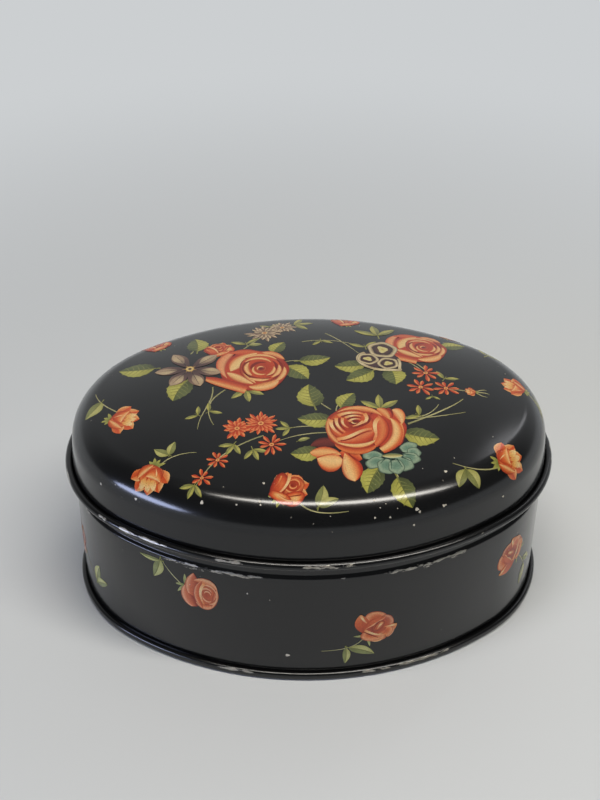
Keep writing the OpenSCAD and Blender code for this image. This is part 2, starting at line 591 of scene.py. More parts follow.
def half_blade(root: Point, tip: Point, width: float, side: int, blend: str, bend: float = 0.0,
               belly: float = 0.45, teeth: int = 0, steps: int = 12) -> Patch:
    """One half of a leaf or of a pointed petal, from its spine to its edge.

    The spine is a shallow parabola. The half width is a sine hump, widest at the belly, with a wave for
    the teeth.

    Args:
        root: Start of the spine.
        tip: End of the spine.
        width: Full width at the belly.
        side: 1 for the left half, -1 for the right.
        blend: Inks along the spine, and after a slash those along the edge, if others.
        bend: Height of the parabola, as a share of the length.
        belly: Where the shape is widest, as a share of the length.
        teeth: Waves along the edge.
        steps: Steps along the spine.

    Returns:
        The shape.
    """
    start, end = at(*root, *tip)
    run = end - start
    normal = np.array([-run[1], run[0]])
    t = np.linspace(0, 1, steps + 1)[:, None]
    spine = start + run * t + normal * bend * 4 * t * (1 - t)
    hump = np.sin(np.pi * t ** (np.log(0.5) / np.log(belly))) ** 0.8 + 0.02
    hump = hump * (1 + (0.05 * np.cos(2 * np.pi * teeth * t) if teeth else 0.0))
    s = np.linspace(0, 1, 4)[None, :]
    reach = side * s * hump * width / 200
    points = spine[:, None, :] + reach[..., None] * (normal / np.hypot(*normal))
    middle, _, edge = blend.partition("/")
    inner, outer = shade(t, middle), shade(t, edge or middle)
    return Patch(points, inner + (outer - inner) * s[..., None] ** 2)


def blade(root: Point, tip: Point, width: float, left: str, right: str = "", **shape: Any) -> list[Patch]:
    """Both halves of a leaf or of a pointed petal, with inks of the right half if they are others."""
    return [half_blade(root, tip, width, side, blend, **shape)
            for side, blend in ((1, left), (-1, right or left))]


@dataclass
class Motif:
    """A printed figure drawn about its own origin at unit size."""

    x: float
    y: float
    size: float
    turn: float = 0.0
    mirror: bool = False

    def draw(self) -> Iterable[list[Patch]]:
        """The figure's layers of ink at unit size, lowest first."""
        return ()

    def layers(self) -> list[list[Patch]]:
        """The figure's layers of ink in place."""
        where = (self.x, self.y), self.size, self.turn, self.mirror
        return [[patch.placed(*where) for patch in layer] for layer in self.draw()]


PETAL = "#fadb9f 32 #f6bf7a 58 #e8824a 82 #d4502b #98291a"
RED_PETAL = "#ea8a50 40 #dc5f34 75 #cb4527 #8c2618"
GROUND = "#b53c23 85 #c9482a #9c2d1d"
FOLD = "#84200f 34 #d4522b 62 #f3b06c 84 #fad69a #d9582f"
LIP = "#9c2d1d 30 #e07640 68 #fbdfa8 #ee9a58"
CREAM_LINE = "#ee9a58 40 #fbdfa8 #e8824a"
DARK_LINE = "#98291a 50 #7a1c12 #a5331f"
PEACH = "#cc5630 50 #e07646 82 #f0ab78 #bb4e2e"
ROSY = "#a8402c 60 #c75f40 88 #e3a680 #ad462f"


def pointed_petal(root: Point, turn: float, long: float, wide: float) -> list[Patch]:
    """A pointed rose petal with a red and a light half and a pale edge.

    Args:
        root: Foot of the petal.
        turn: Turn from +Y in degrees, counterclockwise.
        long: Length.
        wide: Width.

    Returns:
        Its two halves.
    """
    way = np.radians(turn)
    return blade(root, (root[0] - long * np.sin(way), root[1] + long * np.cos(way)), wide,
                 "#a8321f 50 #e07440 #ee9a58 / #d6522c 50 #f2b06c 85 #fad69a #e98a4c",
                 "#8f2719 50 #c94627 #dc6236 / #8f2719 60 #e9884a #d6502c", bend=0.05, belly=0.6, steps=8)


def sepals() -> list[Patch]:
    """Narrow green leaves below a rose.

    Returns:
        Both halves of each.
    """
    leaves = []
    for turn, long in ((-64, 48), (-18, 36), (24, 42), (66, 38)):
        way = np.radians(turn)
        tip = (long * np.sin(way), -62 - long * np.cos(way))
        leaves += blade((0, -55), tip, 17, "#6f7a3c #b9ba66", steps=6)
    return leaves


@dataclass
class Rose(Motif):
    """Full-blown rose seen from above: a cup with a folded heart, and turned-back petals beside it."""

    def draw(self) -> Iterable[list[Patch]]:
        """Ground, outer petals, the wrapping petals, the cup, its folds and its lips."""
        yield [blob(-32, 0, 61, 80, 0, GROUND, lobes=7, depth=3, grid=14)]
        yield [blob(46, 2, 46, 70, 0, GROUND, lobes=7, depth=3, grid=14)]
        yield [petal(at(-66, 58, -28, 100, 25, 84, 40, 42), at(-66, 58, -25, 62, 8, 62, 40, 42),
                     "#d4502b 22 #f5c081 60 #ee9a5c #b53c23"),
               petal(at(64, 66, 92, 88, 104, 35, 82, 12), at(64, 66, 64, 45, 76, 32, 82, 12),
                     "#c9482a 18 #f0a868 55 #f8d59b #df6c3a")]
        yield [petal(at(28, 70, 46, 84, 66, 55, 56, 28), at(28, 70, 30, 55, 42, 42, 56, 28),
                     "#c04422 40 #f3b877 #df6c3a"),
               stroke(at(54, 72, 68, 60, 62, 38), 7, DARK_LINE)]
        yield [petal(at(56, 36, 62, -5, 62, -35, 24, -66), at(56, 36, 106, 24, 96, -60, 36, -82),
                     "#a5331f 10 #e8894c 20 #f8d59b 52 #f5c485 66 #e8894c 90 #cf4f2a #9c2d1d", 16)]
        yield [stroke(at(80, 16, 92, -15, 72, -55), 4, "#f0a868 #d4502b")]
        yield [petal(at(-76, -52, -40, -72, 2, -68, 22, -50), at(-74, -62, -46, -102, 8, -90, 22, -56),
                     "#9c2d1d 50 #dd6a38 80 #e8894c #b53c23"),
               petal(at(-88, 34, -102, 0, -94, -34, -68, -56), at(-82, 34, -86, 0, -78, -28, -62, -46),
                     "#b53c23 40 #f3b877 #c9482a")]
        yield [petal(at(30, 46, 8, 10, 28, -10, 12, -46), at(30, 46, 66, 20, 58, -35, 20, -64),
                     "#d4502b 20 #d9603a 60 #e68a52 85 #cf4f2a #8c2618", 16)]
        yield [blob(-34, 10, 53, 58, 0, "#8c2618 50 #cf4f2a 85 #dd6a38 #a5331f", lobes=5, depth=2, grid=14)]
        dark = ((-74, 32, -80, 2, -55, -20), (-61, 36, -66, 8, -46, -10), (-56, 40, -32, 54, -6, 45),
                (-44, 30, -28, 42, -10, 34), (5, 46, 15, 24, 4, 14, -18, 2), (-2, 20, -14, 4, -30, -2))
        yield [stroke(at(*way), 7, DARK_LINE, 0.5) for way in dark]
        yield [blob(-28, 19, 16, 13, 20, "#5c120c 70 #8c2618 #c04422", grid=6)]
        pale = ((10, -80, 30, -87, 2, -60, -24), (8.5, -68, 36, -73, 6, -50, -16),
                (7, -53, 36, -60, 12, -42, 0), (10, -64, 44, -34, 64, -5, 51), (8, -48, 36, -28, 50, -10, 41),
                (7, -40, 22, -30, 37, -12, 30), (9.5, -2, 52, 10, 26, -2, 20, -24, 8),
                (7, -6, 25, -16, 10, -32, 5), (4.5, -34, 22, -30, 12, -20, 17))
        yield [stroke(at(*way), width, CREAM_LINE, 0.5) for width, *way in pale]
        yield [stroke(at(31, 34, 9, 10, 28, -8, 15, -42), 11, CREAM_LINE, 0.6)]
        yield [petal(at(-70, -40, -36, -38, -20, -6, 13, -4), at(-68, -48, -36, -66, 12, -60, 18, -20),
                     "#c04422 35 #e68a5a 70 #d4562f #a5331f")]
        yield [stroke(at(-70, -39, -36, -37, -20, -6, 13, -3), 10, CREAM_LINE, 0.7),
               petal(at(-68, -48, -34, -59, -4, -52, 17, -40), at(-66, -55, -34, -74, 0, -70, 17, -46),
                     "#b53c23 28 #f8d59b 70 #f5c081 #cf4f2a")]
        yield [stroke(at(-62, -44, -34, -44, -16, -14, 12, -11), 4, DARK_LINE, 0.6)]


@dataclass
class BowlRose(Motif):
    """Full-blown rose with a round folded heart at the right and broad wrapped petals round it."""

    def draw(self) -> Iterable[list[Patch]]:
        """Ground, outer petals, the wrapped petals, the heart and its folds."""
        cream = "#cf4f2a 12 #e68a52 30 #f6cf90 80 #f8d9a0 #c04422"
        lip = "#cf4f2a 25 #f8d59b 65 #f5c081 #b53c23"
        fold = "#b53c23 22 #f0a868 60 #fadb9f #e07640"
        yield [blob(9, -2, 86, 90, 0, GROUND, lobes=7, depth=2, grid=14)]
        yield [petal(at(-31, 94, -98, 74, -106, 5, -58, -40), at(-31, 94, -56, 54, -74, 13, -58, -40),
                     "#c9482a 25 #ee9f70 70 #f0b080 #b53c23"),
               petal(at(13, 71, 40, 95, 76, 84, 86, 40), at(13, 71, 40, 62, 63, 50, 86, 40),
                     "#d4502b 35 #f5c081 #d9603a")]
        yield [petal(at(-58, 78, -22, 112, 9, 94, 36, 71), at(-58, 78, -31, 66, 4, 66, 36, 71),
                     "#b53c23 40 #df6c3a #cf4f2a"),
               petal(at(-112, -31, -85, -31, -49, -49, -5, -71), at(-112, -50, -89, -71, -54, -85, -16, -105),
                     "#a5331f 40 #d9603a 72 #f3b877 #d4562f"),
               petal(at(-4, -74, 27, -60, 49, -46, 70, -42), at(-4, -78, 10, -112, 78, -95, 70, -45),
                     "#b53c23 30 #f0a868 60 #f8d59b 88 #e8894c #b53c23")]
        yield [petal(at(-51, -9, -70, 31, -38, 80, 16, 76), at(-51, -9, -20, 0, -2, 36, 16, 76), cream)]
        yield [petal(at(-60, -14, -38, -10, -10, -34, 6, -63), at(-60, -16, -58, -42, -27, -68, 6, -66), lip)]
        yield [blob(28, 5, 58, 62, 0, "#a5331f 60 #cf4f2a 90 #d9603a #8c2618", lobes=5, depth=2, grid=12)]
        yield [petal(at(-23, 2, -2, -2, 2, -31, 12, -60), at(-23, 0, -22, -34, -6, -55, 12, -62), lip)]
        dark = ((25, 2, 53, -64, 118, 2), (25, 4, 38, -70, 120, 4), (30, 0, 53, 96, 124, -6),
                (22, 6, 42, 210, 96, 8), (26, 2, 27, 60, 150, -3))
        yield [crescent(*way, 10, DARK_LINE, 1.05, growth) for *way, growth in dark]
        pale = ((24, 0, 63, -58, 66, 15, -3), (24, 2, 46, -54, 72, 14, 2), (26, 0, 30, -66, 84, 11, 3),
                (24, 2, 56, 42, 96, 12, 6), (22, 6, 36, 36, 112, 11, 8), (30, 2, 44, 142, 84, 14, -6),
                (20, 8, 50, 240, 58, 13, 6), (26, 0, 20, 150, 150, 9, 4))
        yield [crescent(*way, fold, 1.05, growth) for *way, growth in pale]
        yield [blob(25, 2, 13, 14, 0, "#6a1e18 60 #96352a #cf5c34", grid=6)]
        yield [crescent(25, 1, 9, 30, 190, 5, CREAM_LINE, steps=8)]


@dataclass
class SideRose(Motif):
    """Half-open rose seen from the side: petals wrapped round a heart, sepals below."""

    def draw(self) -> Iterable[list[Patch]]:
        """Sepals, outer petals, the heart and the wrapped petals."""
        yield sepals()
        for turn, long, wide in ((34, 96, 62), (-30, 104, 62), (4, 98, 60), (62, 90, 50), (-62, 92, 50)):
            yield pointed_petal((0, -20), turn, long, wide)
        yield [blob(4, 18, 50, 52, -10, "#8c2618 65 #c94f2c 92 #e58a52 #98291a", lobes=5, depth=4)]
        for way in ((42, 60, 130), (32, 200, 170), (23, 20, 170), (14, 190, 200)):
            yield [crescent(6, 24, *way, 13, FOLD, 1.1, steps=10)]
        yield [blob(-40, -12, 33, 64, 18, "#e8824a 50 #d65c33 85 #b53c23 #84200f", (35, 20), 3, 5)]
        yield [stroke(at(-42, 60, -14, 24, -6, -16, -22, -64), 15, CREAM_LINE),
               stroke(at(-62, 30, -46, 0, -48, -40), 7, "#f0a662 #c94627")]
        yield [blob(46, -28, 34, 50, -36, PETAL, (20, 20), lobes=3, depth=7)]
        yield [stroke(at(62, 6, 42, -16, 18, -44), 6, DARK_LINE)]
        yield [blob(4, -56, 56, 24, 8, PETAL, (-20, 30), lobes=5, depth=6)]
        yield [crescent(10, 2, 58, 246, 84, 10, LIP, 0.95, steps=10)]


@dataclass
class WallRose(Motif):
    """Small rose seen from the front: a folded heart between wrapped petals, thin sepals below."""

    def draw(self) -> Iterable[list[Patch]]:
        """Sepals, back petals, the heart, wrapped petals and their pale lips."""
        tips = ((-62, -86), (42, -116))
        yield sum((blade((0, -62), tip, 13, "#8b9454 #b5bb7e", steps=6) for tip in tips), [])
        yield [blob(-24, 48, 50, 38, 30, PEACH, (20, -20), lobes=3, depth=5)]
        yield [blob(38, 44, 42, 34, -24, ROSY, (-20, -30), lobes=3, depth=5)]
        yield [half_blade((-30, -52), (-98, 44), 62, 1, "#b04427 60 #d8673a #e68f58", belly=0.5),
               half_blade((-30, -52), (-98, 44), 70, -1, "#b04427 60 #cf5c34 #e0804c"),
               half_blade((34, -56), (98, 42), 74, 1, "#96352a 60 #c24a28 #df7d4c"),
               half_blade((34, -56), (98, 42), 66, -1, "#b04427 60 #d8673a #ea9a66", belly=0.5)]
        yield [blob(72, -16, 28, 40, -12, PEACH, (-30, 20), lobes=3, depth=5)]
        yield [blob(24, -56, 62, 32, 10, PEACH, (-20, 40), lobes=3, depth=5)]
        yield [blob(6, 2, 52, 52, 0, "#7c261a 60 #b04427 #c9552f", lobes=5, depth=3)]
        yield [half_blade((-36, -30), (22, 70), 46, 1, "#c24a28 50 #da6c3e #d8673a", belly=0.5),
               half_blade((-36, -30), (22, 70), 16, -1, "#e68f58 50 #f2c491 #e8935f", belly=0.5)]
        yield [blob(16, 8, 22, 38, -12, "#dd8350 70 #c45a34 #8c2f20", (10, 30))]
        lips = ((-96, 42, -74, 20, -44, 8), (96, 40, 74, 24, 46, 12), (-32, -34, 10, -44, 50, -46, 80, -24))
        yield [stroke(at(*way), 13, CREAM_LINE, 0.5) for way in lips]
        yield [stroke(at(24, 34, 19, 14, 20, -10), 12, CREAM_LINE, 0.6, 6),
               stroke(at(6, 30, 0, 8, 6, -14), 5, DARK_LINE, 0.6, 6),
               stroke(at(-34, -43, 10, -54, 52, -55), 5, DARK_LINE, 0.6, 8),
               crescent(28, -44, 50, -86, 70, 10, "#e8935f #f0c896", 0.8, steps=8),
               crescent(56, -12, 46, -42, 84, 7, "#e08a5c #efb695", steps=8)]


@dataclass
class TurnedRose(Motif):
    """Small rose turned to the right: a long petal at the left, a wrapped one, and a round heart."""

    def draw(self) -> Iterable[list[Patch]]:
        """Sepals, outer petals, the heart, the wrap and the pale folds."""
        tips = ((-126, 18), (-118, -32), (-72, 100))
        yield sum((blade((-74, 26), tip, 17, "#7f8a4c #b5bb7e", steps=6) for tip in tips), [])
        yield [blob(-28, -10, 56, 90, 0, "#a8402c #96352a", grid=10)]
        yield [petal(at(-72, 30, -116, -6, -106, -92, -48, -110), at(-62, 24, -36, -10, -26, -70, -16, -100),
                     "#b04a30 12 #f2b48c 36 #dd7c54 75 #c25a3a #8c2f20")]
        yield [petal(at(-26, 120, -58, 96, -92, 40, -62, -20), at(-22, 118, 10, 80, -4, 20, -24, -40),
                     "#b04a30 14 #efae84 40 #d8704a 80 #bb5234 #8c2f20")]
        yield [blob(38, -4, 58, 94, 0, "#b04a30 70 #d86c42 #a8402c", grid=10)]
        yield [petal(at(-24, 76, 16, 120, 96, 110, 96, 36), at(-24, 72, 16, 56, 56, 50, 96, 36),
                     "#b04a30 20 #f3bf90 55 #e68f5c #bb4e2e"),
               petal(at(92, 46, 108, 10, 102, -46, 60, -88), at(92, 46, 68, 10, 62, -40, 60, -88),
                     "#b04a30 25 #f0b080 70 #dc7a54 #a8402c"),
               petal(at(-20, -66, 20, -74, 50, -70, 82, -52), at(-20, -74, 6, -126, 66, -116, 82, -52),
                     "#a8402c 35 #e07646 75 #f0b080 #bb4e2e")]
        yield [petal(at(16, 80, -44, 36, -46, -62, 14, -102), at(22, 84, -2, 40, 4, -40, 18, -98),
                     "#96352a 15 #eba47a 40 #dc7448 80 #cc5630 #b04a30")]
        folds = ((46, 10, 120, 6), (44, -86, 84, 0), (29, 40, 130, 6), (28, 196, 110, 4), (15, 10, 150, 3))
        yield [crescent(44, -6, *way, 13, "#8c2f20 40 #e07646 #f6cfa0", 1.25, growth)
               for *way, growth in folds]
        yield [stroke(at(30, 66, -2, 24, 0, -30, 22, -74), 16, CREAM_LINE, 0.6)]


@dataclass
class OpenBud(Motif):
    """Opening rose seen from the side: a wide cup between two pointed petals, with a frilled edge."""

    def draw(self) -> Iterable[list[Patch]]:
        """Sepals, back petals, side petals, the cup, its folds and its pale lips."""
        yield sepals()
        for turn, long in ((30, 122), (-28, 130), (2, 126)):
            yield pointed_petal((0, -40), turn, long, 66)
        yield pointed_petal((-10, -44), 54, 102, 58) + pointed_petal((10, -44), -52, 106, 58)
        yield [blob(0, -6, 60, 56, 0, "#a5331f 60 #d9603a 90 #e8894c #98291a", lobes=5, depth=5)]
        yield [crescent(4, 20, *way, 12, FOLD, 0.8) for way in ((46, 20, 140), (33, 30, 150), (20, 10, 170))]
        yield sum((blade((foot, -2), tip, 30, "#d9603a 40 #f2bc6c #fbeab4", belly=0.6, steps=6)
                   for foot, *tip in ((-14, -34, 62), (2, -2, 74), (18, 34, 64))), [])
        yield [petal(at(-58, 20, -62, -62, 8, -84, 22, 2), at(-58, 20, -34, 16, 2, 10, 22, 2),
                     "#b53c23 45 #df6c3a 72 #f0a868 90 #fadb9f #d4502b")]
        yield [petal(at(6, -62, 40, -70, 78, -30, 60, 20), at(6, -60, 16, -20, 34, 2, 60, 20),
                     "#a5331f 40 #e07640 75 #f6cf90 #cf4f2a")]
        lips = ((-44, 62, -30, 44, -30, 20), (0, 72, 2, 52, -6, 30), (44, 66, 36, 46, 40, 26),
                (-30, -2, -26, -24, -12, -46))
        yield [stroke(at(*way), 7, CREAM_LINE, 0.5, 8) for way in lips]


class LeafInk(Enum):
    """Inks of the light and the dark half of a leaf, along its spine and its edge."""

    BROAD = ("#a6a84c 50 #c9ca6c #b5b65a / #8f9448 60 #b3b65c #969c4c",
             "#4a5430 50 #667246 #58643c / #3e482a 60 #6d784c #4a5636")
    SLIM = ("#a9ab62 50 #c8c986 #b5b772 / #969a54 60 #b6b976 #9ea25e",
            "#737a48 50 #8f975e #7c8450 / #666d40 60 #949b64 #737a48")


@dataclass
class Leaf(Motif):
    """Leaf with a light and a dark half, broad and toothed or slim and plain.

    Its origin is at the stalk and its tip towards +Y.
    """

    plump: float = 68
    teeth: int = 6

    def draw(self) -> Iterable[list[Patch]]:
        """Two halves, veins and midrib."""
        light, dark = (LeafInk.BROAD if self.teeth else LeafInk.SLIM).value
        yield blade((0, 0), (0, 100), self.plump, light, dark, bend=0.06, belly=0.42,
                    teeth=self.teeth, steps=18)
        if self.teeth:
            veins = []
            for k in range(5):
                y, reach = 14 + 14.5 * k, self.plump * 0.40 * np.sin(np.pi * (0.18 + 0.15 * k)) ** 0.8
                veins += [stroke(at(-5, y, -5 - reach * 0.6, y + 6, -4 - reach, y + 15), 3.2,
                                 "#858946 #a0a24e", steps=4),
                          stroke(at(-3, y, reach * 0.6, y + 6, reach - 4, y + 15), 2.8,
                                 "#858c54 #7c844e", steps=4)]
            yield veins
        yield [stroke(at(0, -16, -2, 10, -10, 50, 0, 97), 5, "#8e9350 #555c30", steps=8)]


@dataclass
class Sprig(Motif):
    """Small pointed leaflets on one stalk, its origin at the foot and its growth towards +Y."""

    leaflets: int = 3

    def draw(self) -> Iterable[list[Patch]]:
        """Stalk and leaflets."""
        yield [stroke(at(0, -25, 3, 0, 0, 30), 6, "#8a8d50 #a8aa62", steps=5)]
        leaves = []
        for turn in np.radians(np.linspace(-58, 58, self.leaflets)):
            leaves += blade((0, 2), (-np.sin(turn) * 86, 8 + np.cos(turn) * 86), 30,
                            "#97984a 60 #c1c06c #a9a958", "#666c3c 60 #91965a #7d8350", belly=0.5, steps=7)
        yield leaves


class StarInk(Enum):
    """Ink sets of the star flowers: the light and the dark half of a petal, then the eye."""

    RED = ("#c03a20 #f7a064", "#9c2616 #dc5028", "#a33a20 40 #b8492a 60 #f6cf80 #f7a064")
    LILAC = ("#8c7464 #ead8b6", "#44342f #94796a", "#a33a20 40 #b8492a 60 #e8bc58 #ead8b6")


@dataclass
class StarFlower(Motif):
    """Star flower of narrow petals with a pale eye, in one ring or two."""

    petals: int = 9
    double: bool = False
    ink: StarInk = StarInk.RED

    def draw(self) -> Iterable[list[Patch]]:
        """Rings of petals, every other petal on top, then the eye."""
        light, dark, eye = self.ink.value
        wide = (280 if self.double else 230) / self.petals
        for ring in range(2 if self.double else 1):
            petals = []
            for k in range(self.petals):
                turn = 2 * np.pi * (k + 0.5 * ring) / self.petals + 0.10 * np.sin(2.3 * k + ring)
                long = (100 - 30 * ring) * (1.0 - 0.10 * (k % 2) - 0.10 * np.sin(1.7 * k))
                tip = (long * np.cos(turn), long * np.sin(turn))
                petals.append(blade((0, 0), tip, wide, light, dark, belly=0.68, steps=6))
            yield sum(petals[::2], [])
            yield sum(petals[1::2], [])
        yield [blob(0, 0, 16, 15, 0, eye, grid=6)]


@dataclass
class Daisy(Motif):
    """Plum-coloured flower of six broad pointed petals with pale outer halves and a small ringed eye."""

    def draw(self) -> Iterable[list[Patch]]:
        """Petals, pale touches, dark lines, rays and the eye."""
        petals, touches, lines, rays = [], [], [], []
        for turn, long in ((183, 100), (119, 108), (45, 105), (-16, 93), (-70, 96), (238, 97)):
            out = long * np.array([np.cos(np.radians(turn)), np.sin(np.radians(turn))])
            petals += blade((0, 0), out, 44, "#3e2c30 50 #674f4e #a08674", belly=0.6, steps=10)
            for side, wide, pale in ((1, 34, "#d0bf9e"), (-1, 26, "#b09c84")):
                touches.append(half_blade(0.34 * out, 0.99 * out, wide, side, f"#85746a 45 {pale} #b9a48c",
                                          belly=0.52, steps=8))
            lines.append(stroke(at(*0.1 * out, *0.9 * out), 3, "#2c2024 #75645a", steps=4))
            rays.append(stroke(at(0, 0, *0.22 * out), 5, "#e0bb62 #8c6a4c", steps=3))
        yield from (petals, touches, lines, rays)
        yield [blob(0, 0, 12, 14, 0, "#4a2c20 42 #5d3a26 55 #f0dc9c #d0a850")]


@dataclass
class Pansies(Motif):
    """Three dark round flowers close together, each with a cream ring and a pale heart."""

    def draw(self) -> Iterable[list[Patch]]:
        """Plum ground, its cream edging, and the three rings with their faces and hearts."""
        plum = "#5c4247 80 #4a333a #33232a"
        edging = "#b9aa86 30 #ded2ae 70 #e4d9b8 #b3a480"
        ring = "#4a333a 70 #4a333a 78 #cfc19a 90 #e4d9b8 #7a6a58"
        yield [blob(-30, -34, 66, 62, -24, plum, lobes=3, depth=4),
               blob(28, -46, 46, 66, 0, plum, lobes=3, depth=4)]
        yield [stroke(at(-62, 22, -110, 2, -102, -62, -42, -92), 15, edging, 0.9),
               stroke(at(-46, -90, -10, -116, 40, -102, 72, -112), 15, edging, 0.9),
               stroke(at(70, -112, 60, -84, 82, -62, 66, -24), 13, edging, 0.7)]
        for x, y, wide, high, turn in ((10, 49, 60, 66, 10), (-54, -26, 40, 44, 60), (24, -60, 42, 42, 110)):
            yield [blob(x, y, wide, high, turn, ring, lobes=5, depth=5, grid=16)]
            yield [blob(x, y, 0.68 * wide, 0.68 * high, turn, "#8a6a3c 50 #5c3c34 #33232a",
                        lobes=5, depth=6, grid=10)]
            yield [blob(x, y, 0.32 * wide, 0.40 * high, turn, "#c9b05a 50 #e2dc96 #d6cf9c",
                        lobes=3, depth=20)]


@dataclass
class FrillFlower(Motif):
    """Blue-green flower of broad ruffled petals that fan out below a pale mouth."""

    def draw(self) -> Iterable[list[Patch]]:
        """The petals from the back to the front, each with a pale rim, then creases and the mouth."""
        for x, y, wide, high, turn in (
                (60, 50, 36, 24, 28), (78, 24, 26, 26, 0), (66, -2, 34, 26, -12), (-76, 4, 38, 22, 4),
                (-68, -30, 38, 26, 28), (36, -30, 38, 34, -24), (-28, -46, 34, 36, 10), (8, -46, 30, 34, -6)):
            yield [blob(x, y, wide, high, turn, "#648a7c 50 #789c8b 82 #a2bba6 #38554c", (-x / 2, -y / 2),
                        lobes=5, depth=5, grid=10)]
        creases = ((-10, -10, -10, -58), (12, -8, 30, -48), (-26, -6, -50, -34), (30, 0, 66, -18),
                   (34, 16, 80, 10))
        yield [stroke(at(*way), 6, "#2c4a42 #547a6c", steps=4) for way in creases]
        yield [petal(at(-42, 2, -20, 22, 20, 22, 36, 8), at(-42, 2, -20, -12, 16, -12, 36, 8),
                     "#3d5a50 50 #b3ad6e 80 #e6dfae #86b3a6")]


@dataclass
class DropPetals(Motif):
    """Fallen petals: a dark one behind, a wide folded one and a long hanging drop."""

    def draw(self) -> Iterable[list[Patch]]:
        """The dark petal, then the folded one and the drop."""
        yield [petal(at(-88, 58, -74, 102, -30, 108, -2, 86), at(-88, 58, -60, 50, -30, 50, -2, 56),
                     "#4a1a18 30 #7c332c 80 #6a2a26 #3c1416")]
        yield [petal(at(6, 30, 30, 50, 70, 40, 78, 0), at(6, 30, 10, -10, 50, -30, 78, 0), RED_PETAL)]
        yield [petal(at(-90, 30, -62, 68, -10, 60, 10, 22), at(-90, 30, -80, -5, -30, 10, 10, 18),
                     "#b53c23 12 #e07640 40 #f5c485 80 #f0a868 #d9603a")]
        yield [petal(at(-68, 4, -36, 26, 12, 34, 15, -10), at(-68, 4, -66, -66, 2, -74, 15, -10),
                     "#d9603a 8 #f3b877 35 #f8d59b 68 #f5c081 86 #e07640 #a5331f")]
        yield [stroke(at(-70, 4, -40, 22, 2, 26), 5, "#b53c23 #e07640")]
        yield [petal(at(22, 26, 0, -30, 6, -86, 50, -90), at(22, 26, 66, 14, 106, -50, 50, -90),
                     "#b53c23 8 #e8894c 18 #f8d59b 48 #f5c485 66 #ee9a5c 84 #d4502b #9c2d1d", 16)]
        yield [stroke(at(34, 26, 44, 6, 64, -10), 6, DARK_LINE),
               stroke(at(24, 16, 18, -20, 24, -50), 5, CREAM_LINE)]


@dataclass
class Flake(Motif):
    """Ragged spot where the lacquer has come off."""

    def draw(self) -> Iterable[list[Patch]]:
        """One lobed spot; its ink is not used."""
        yield [blob(0, 0, 100, 80, 0, "#ffffff #ffffff", lobes=3, depth=16, grid=4)]


@dataclass
class Stem(Motif):
    """Thin stalk along a curve, drawn at size 100 so that its hundredths are millimetres."""

    way: Sequence[float] = ()
    width: float = 0.6

    def draw(self) -> Iterable[list[Patch]]:
        """The stalk, darker at both ends."""
        yield [stroke(at(*self.way), self.width, "#95986a 50 #c6c596 #a5a774", steps=18)]


def stem(*way: float, width: float = 0.6) -> Stem:
    """A stalk through control points in millimetres."""
    return Stem(0, 0, 100, way=way, width=width)


def slim(x: float, y: float, tip_x: float, tip_y: float, plump: float = 42, mirror: bool = False) -> Leaf:
    """A plain leaf without teeth between two points."""
    run = np.array([tip_x - x, tip_y - y])
    return Leaf(x, y, float(np.hypot(*run)), float(np.degrees(np.arctan2(-run[0], run[1]))), mirror, plump, 0)


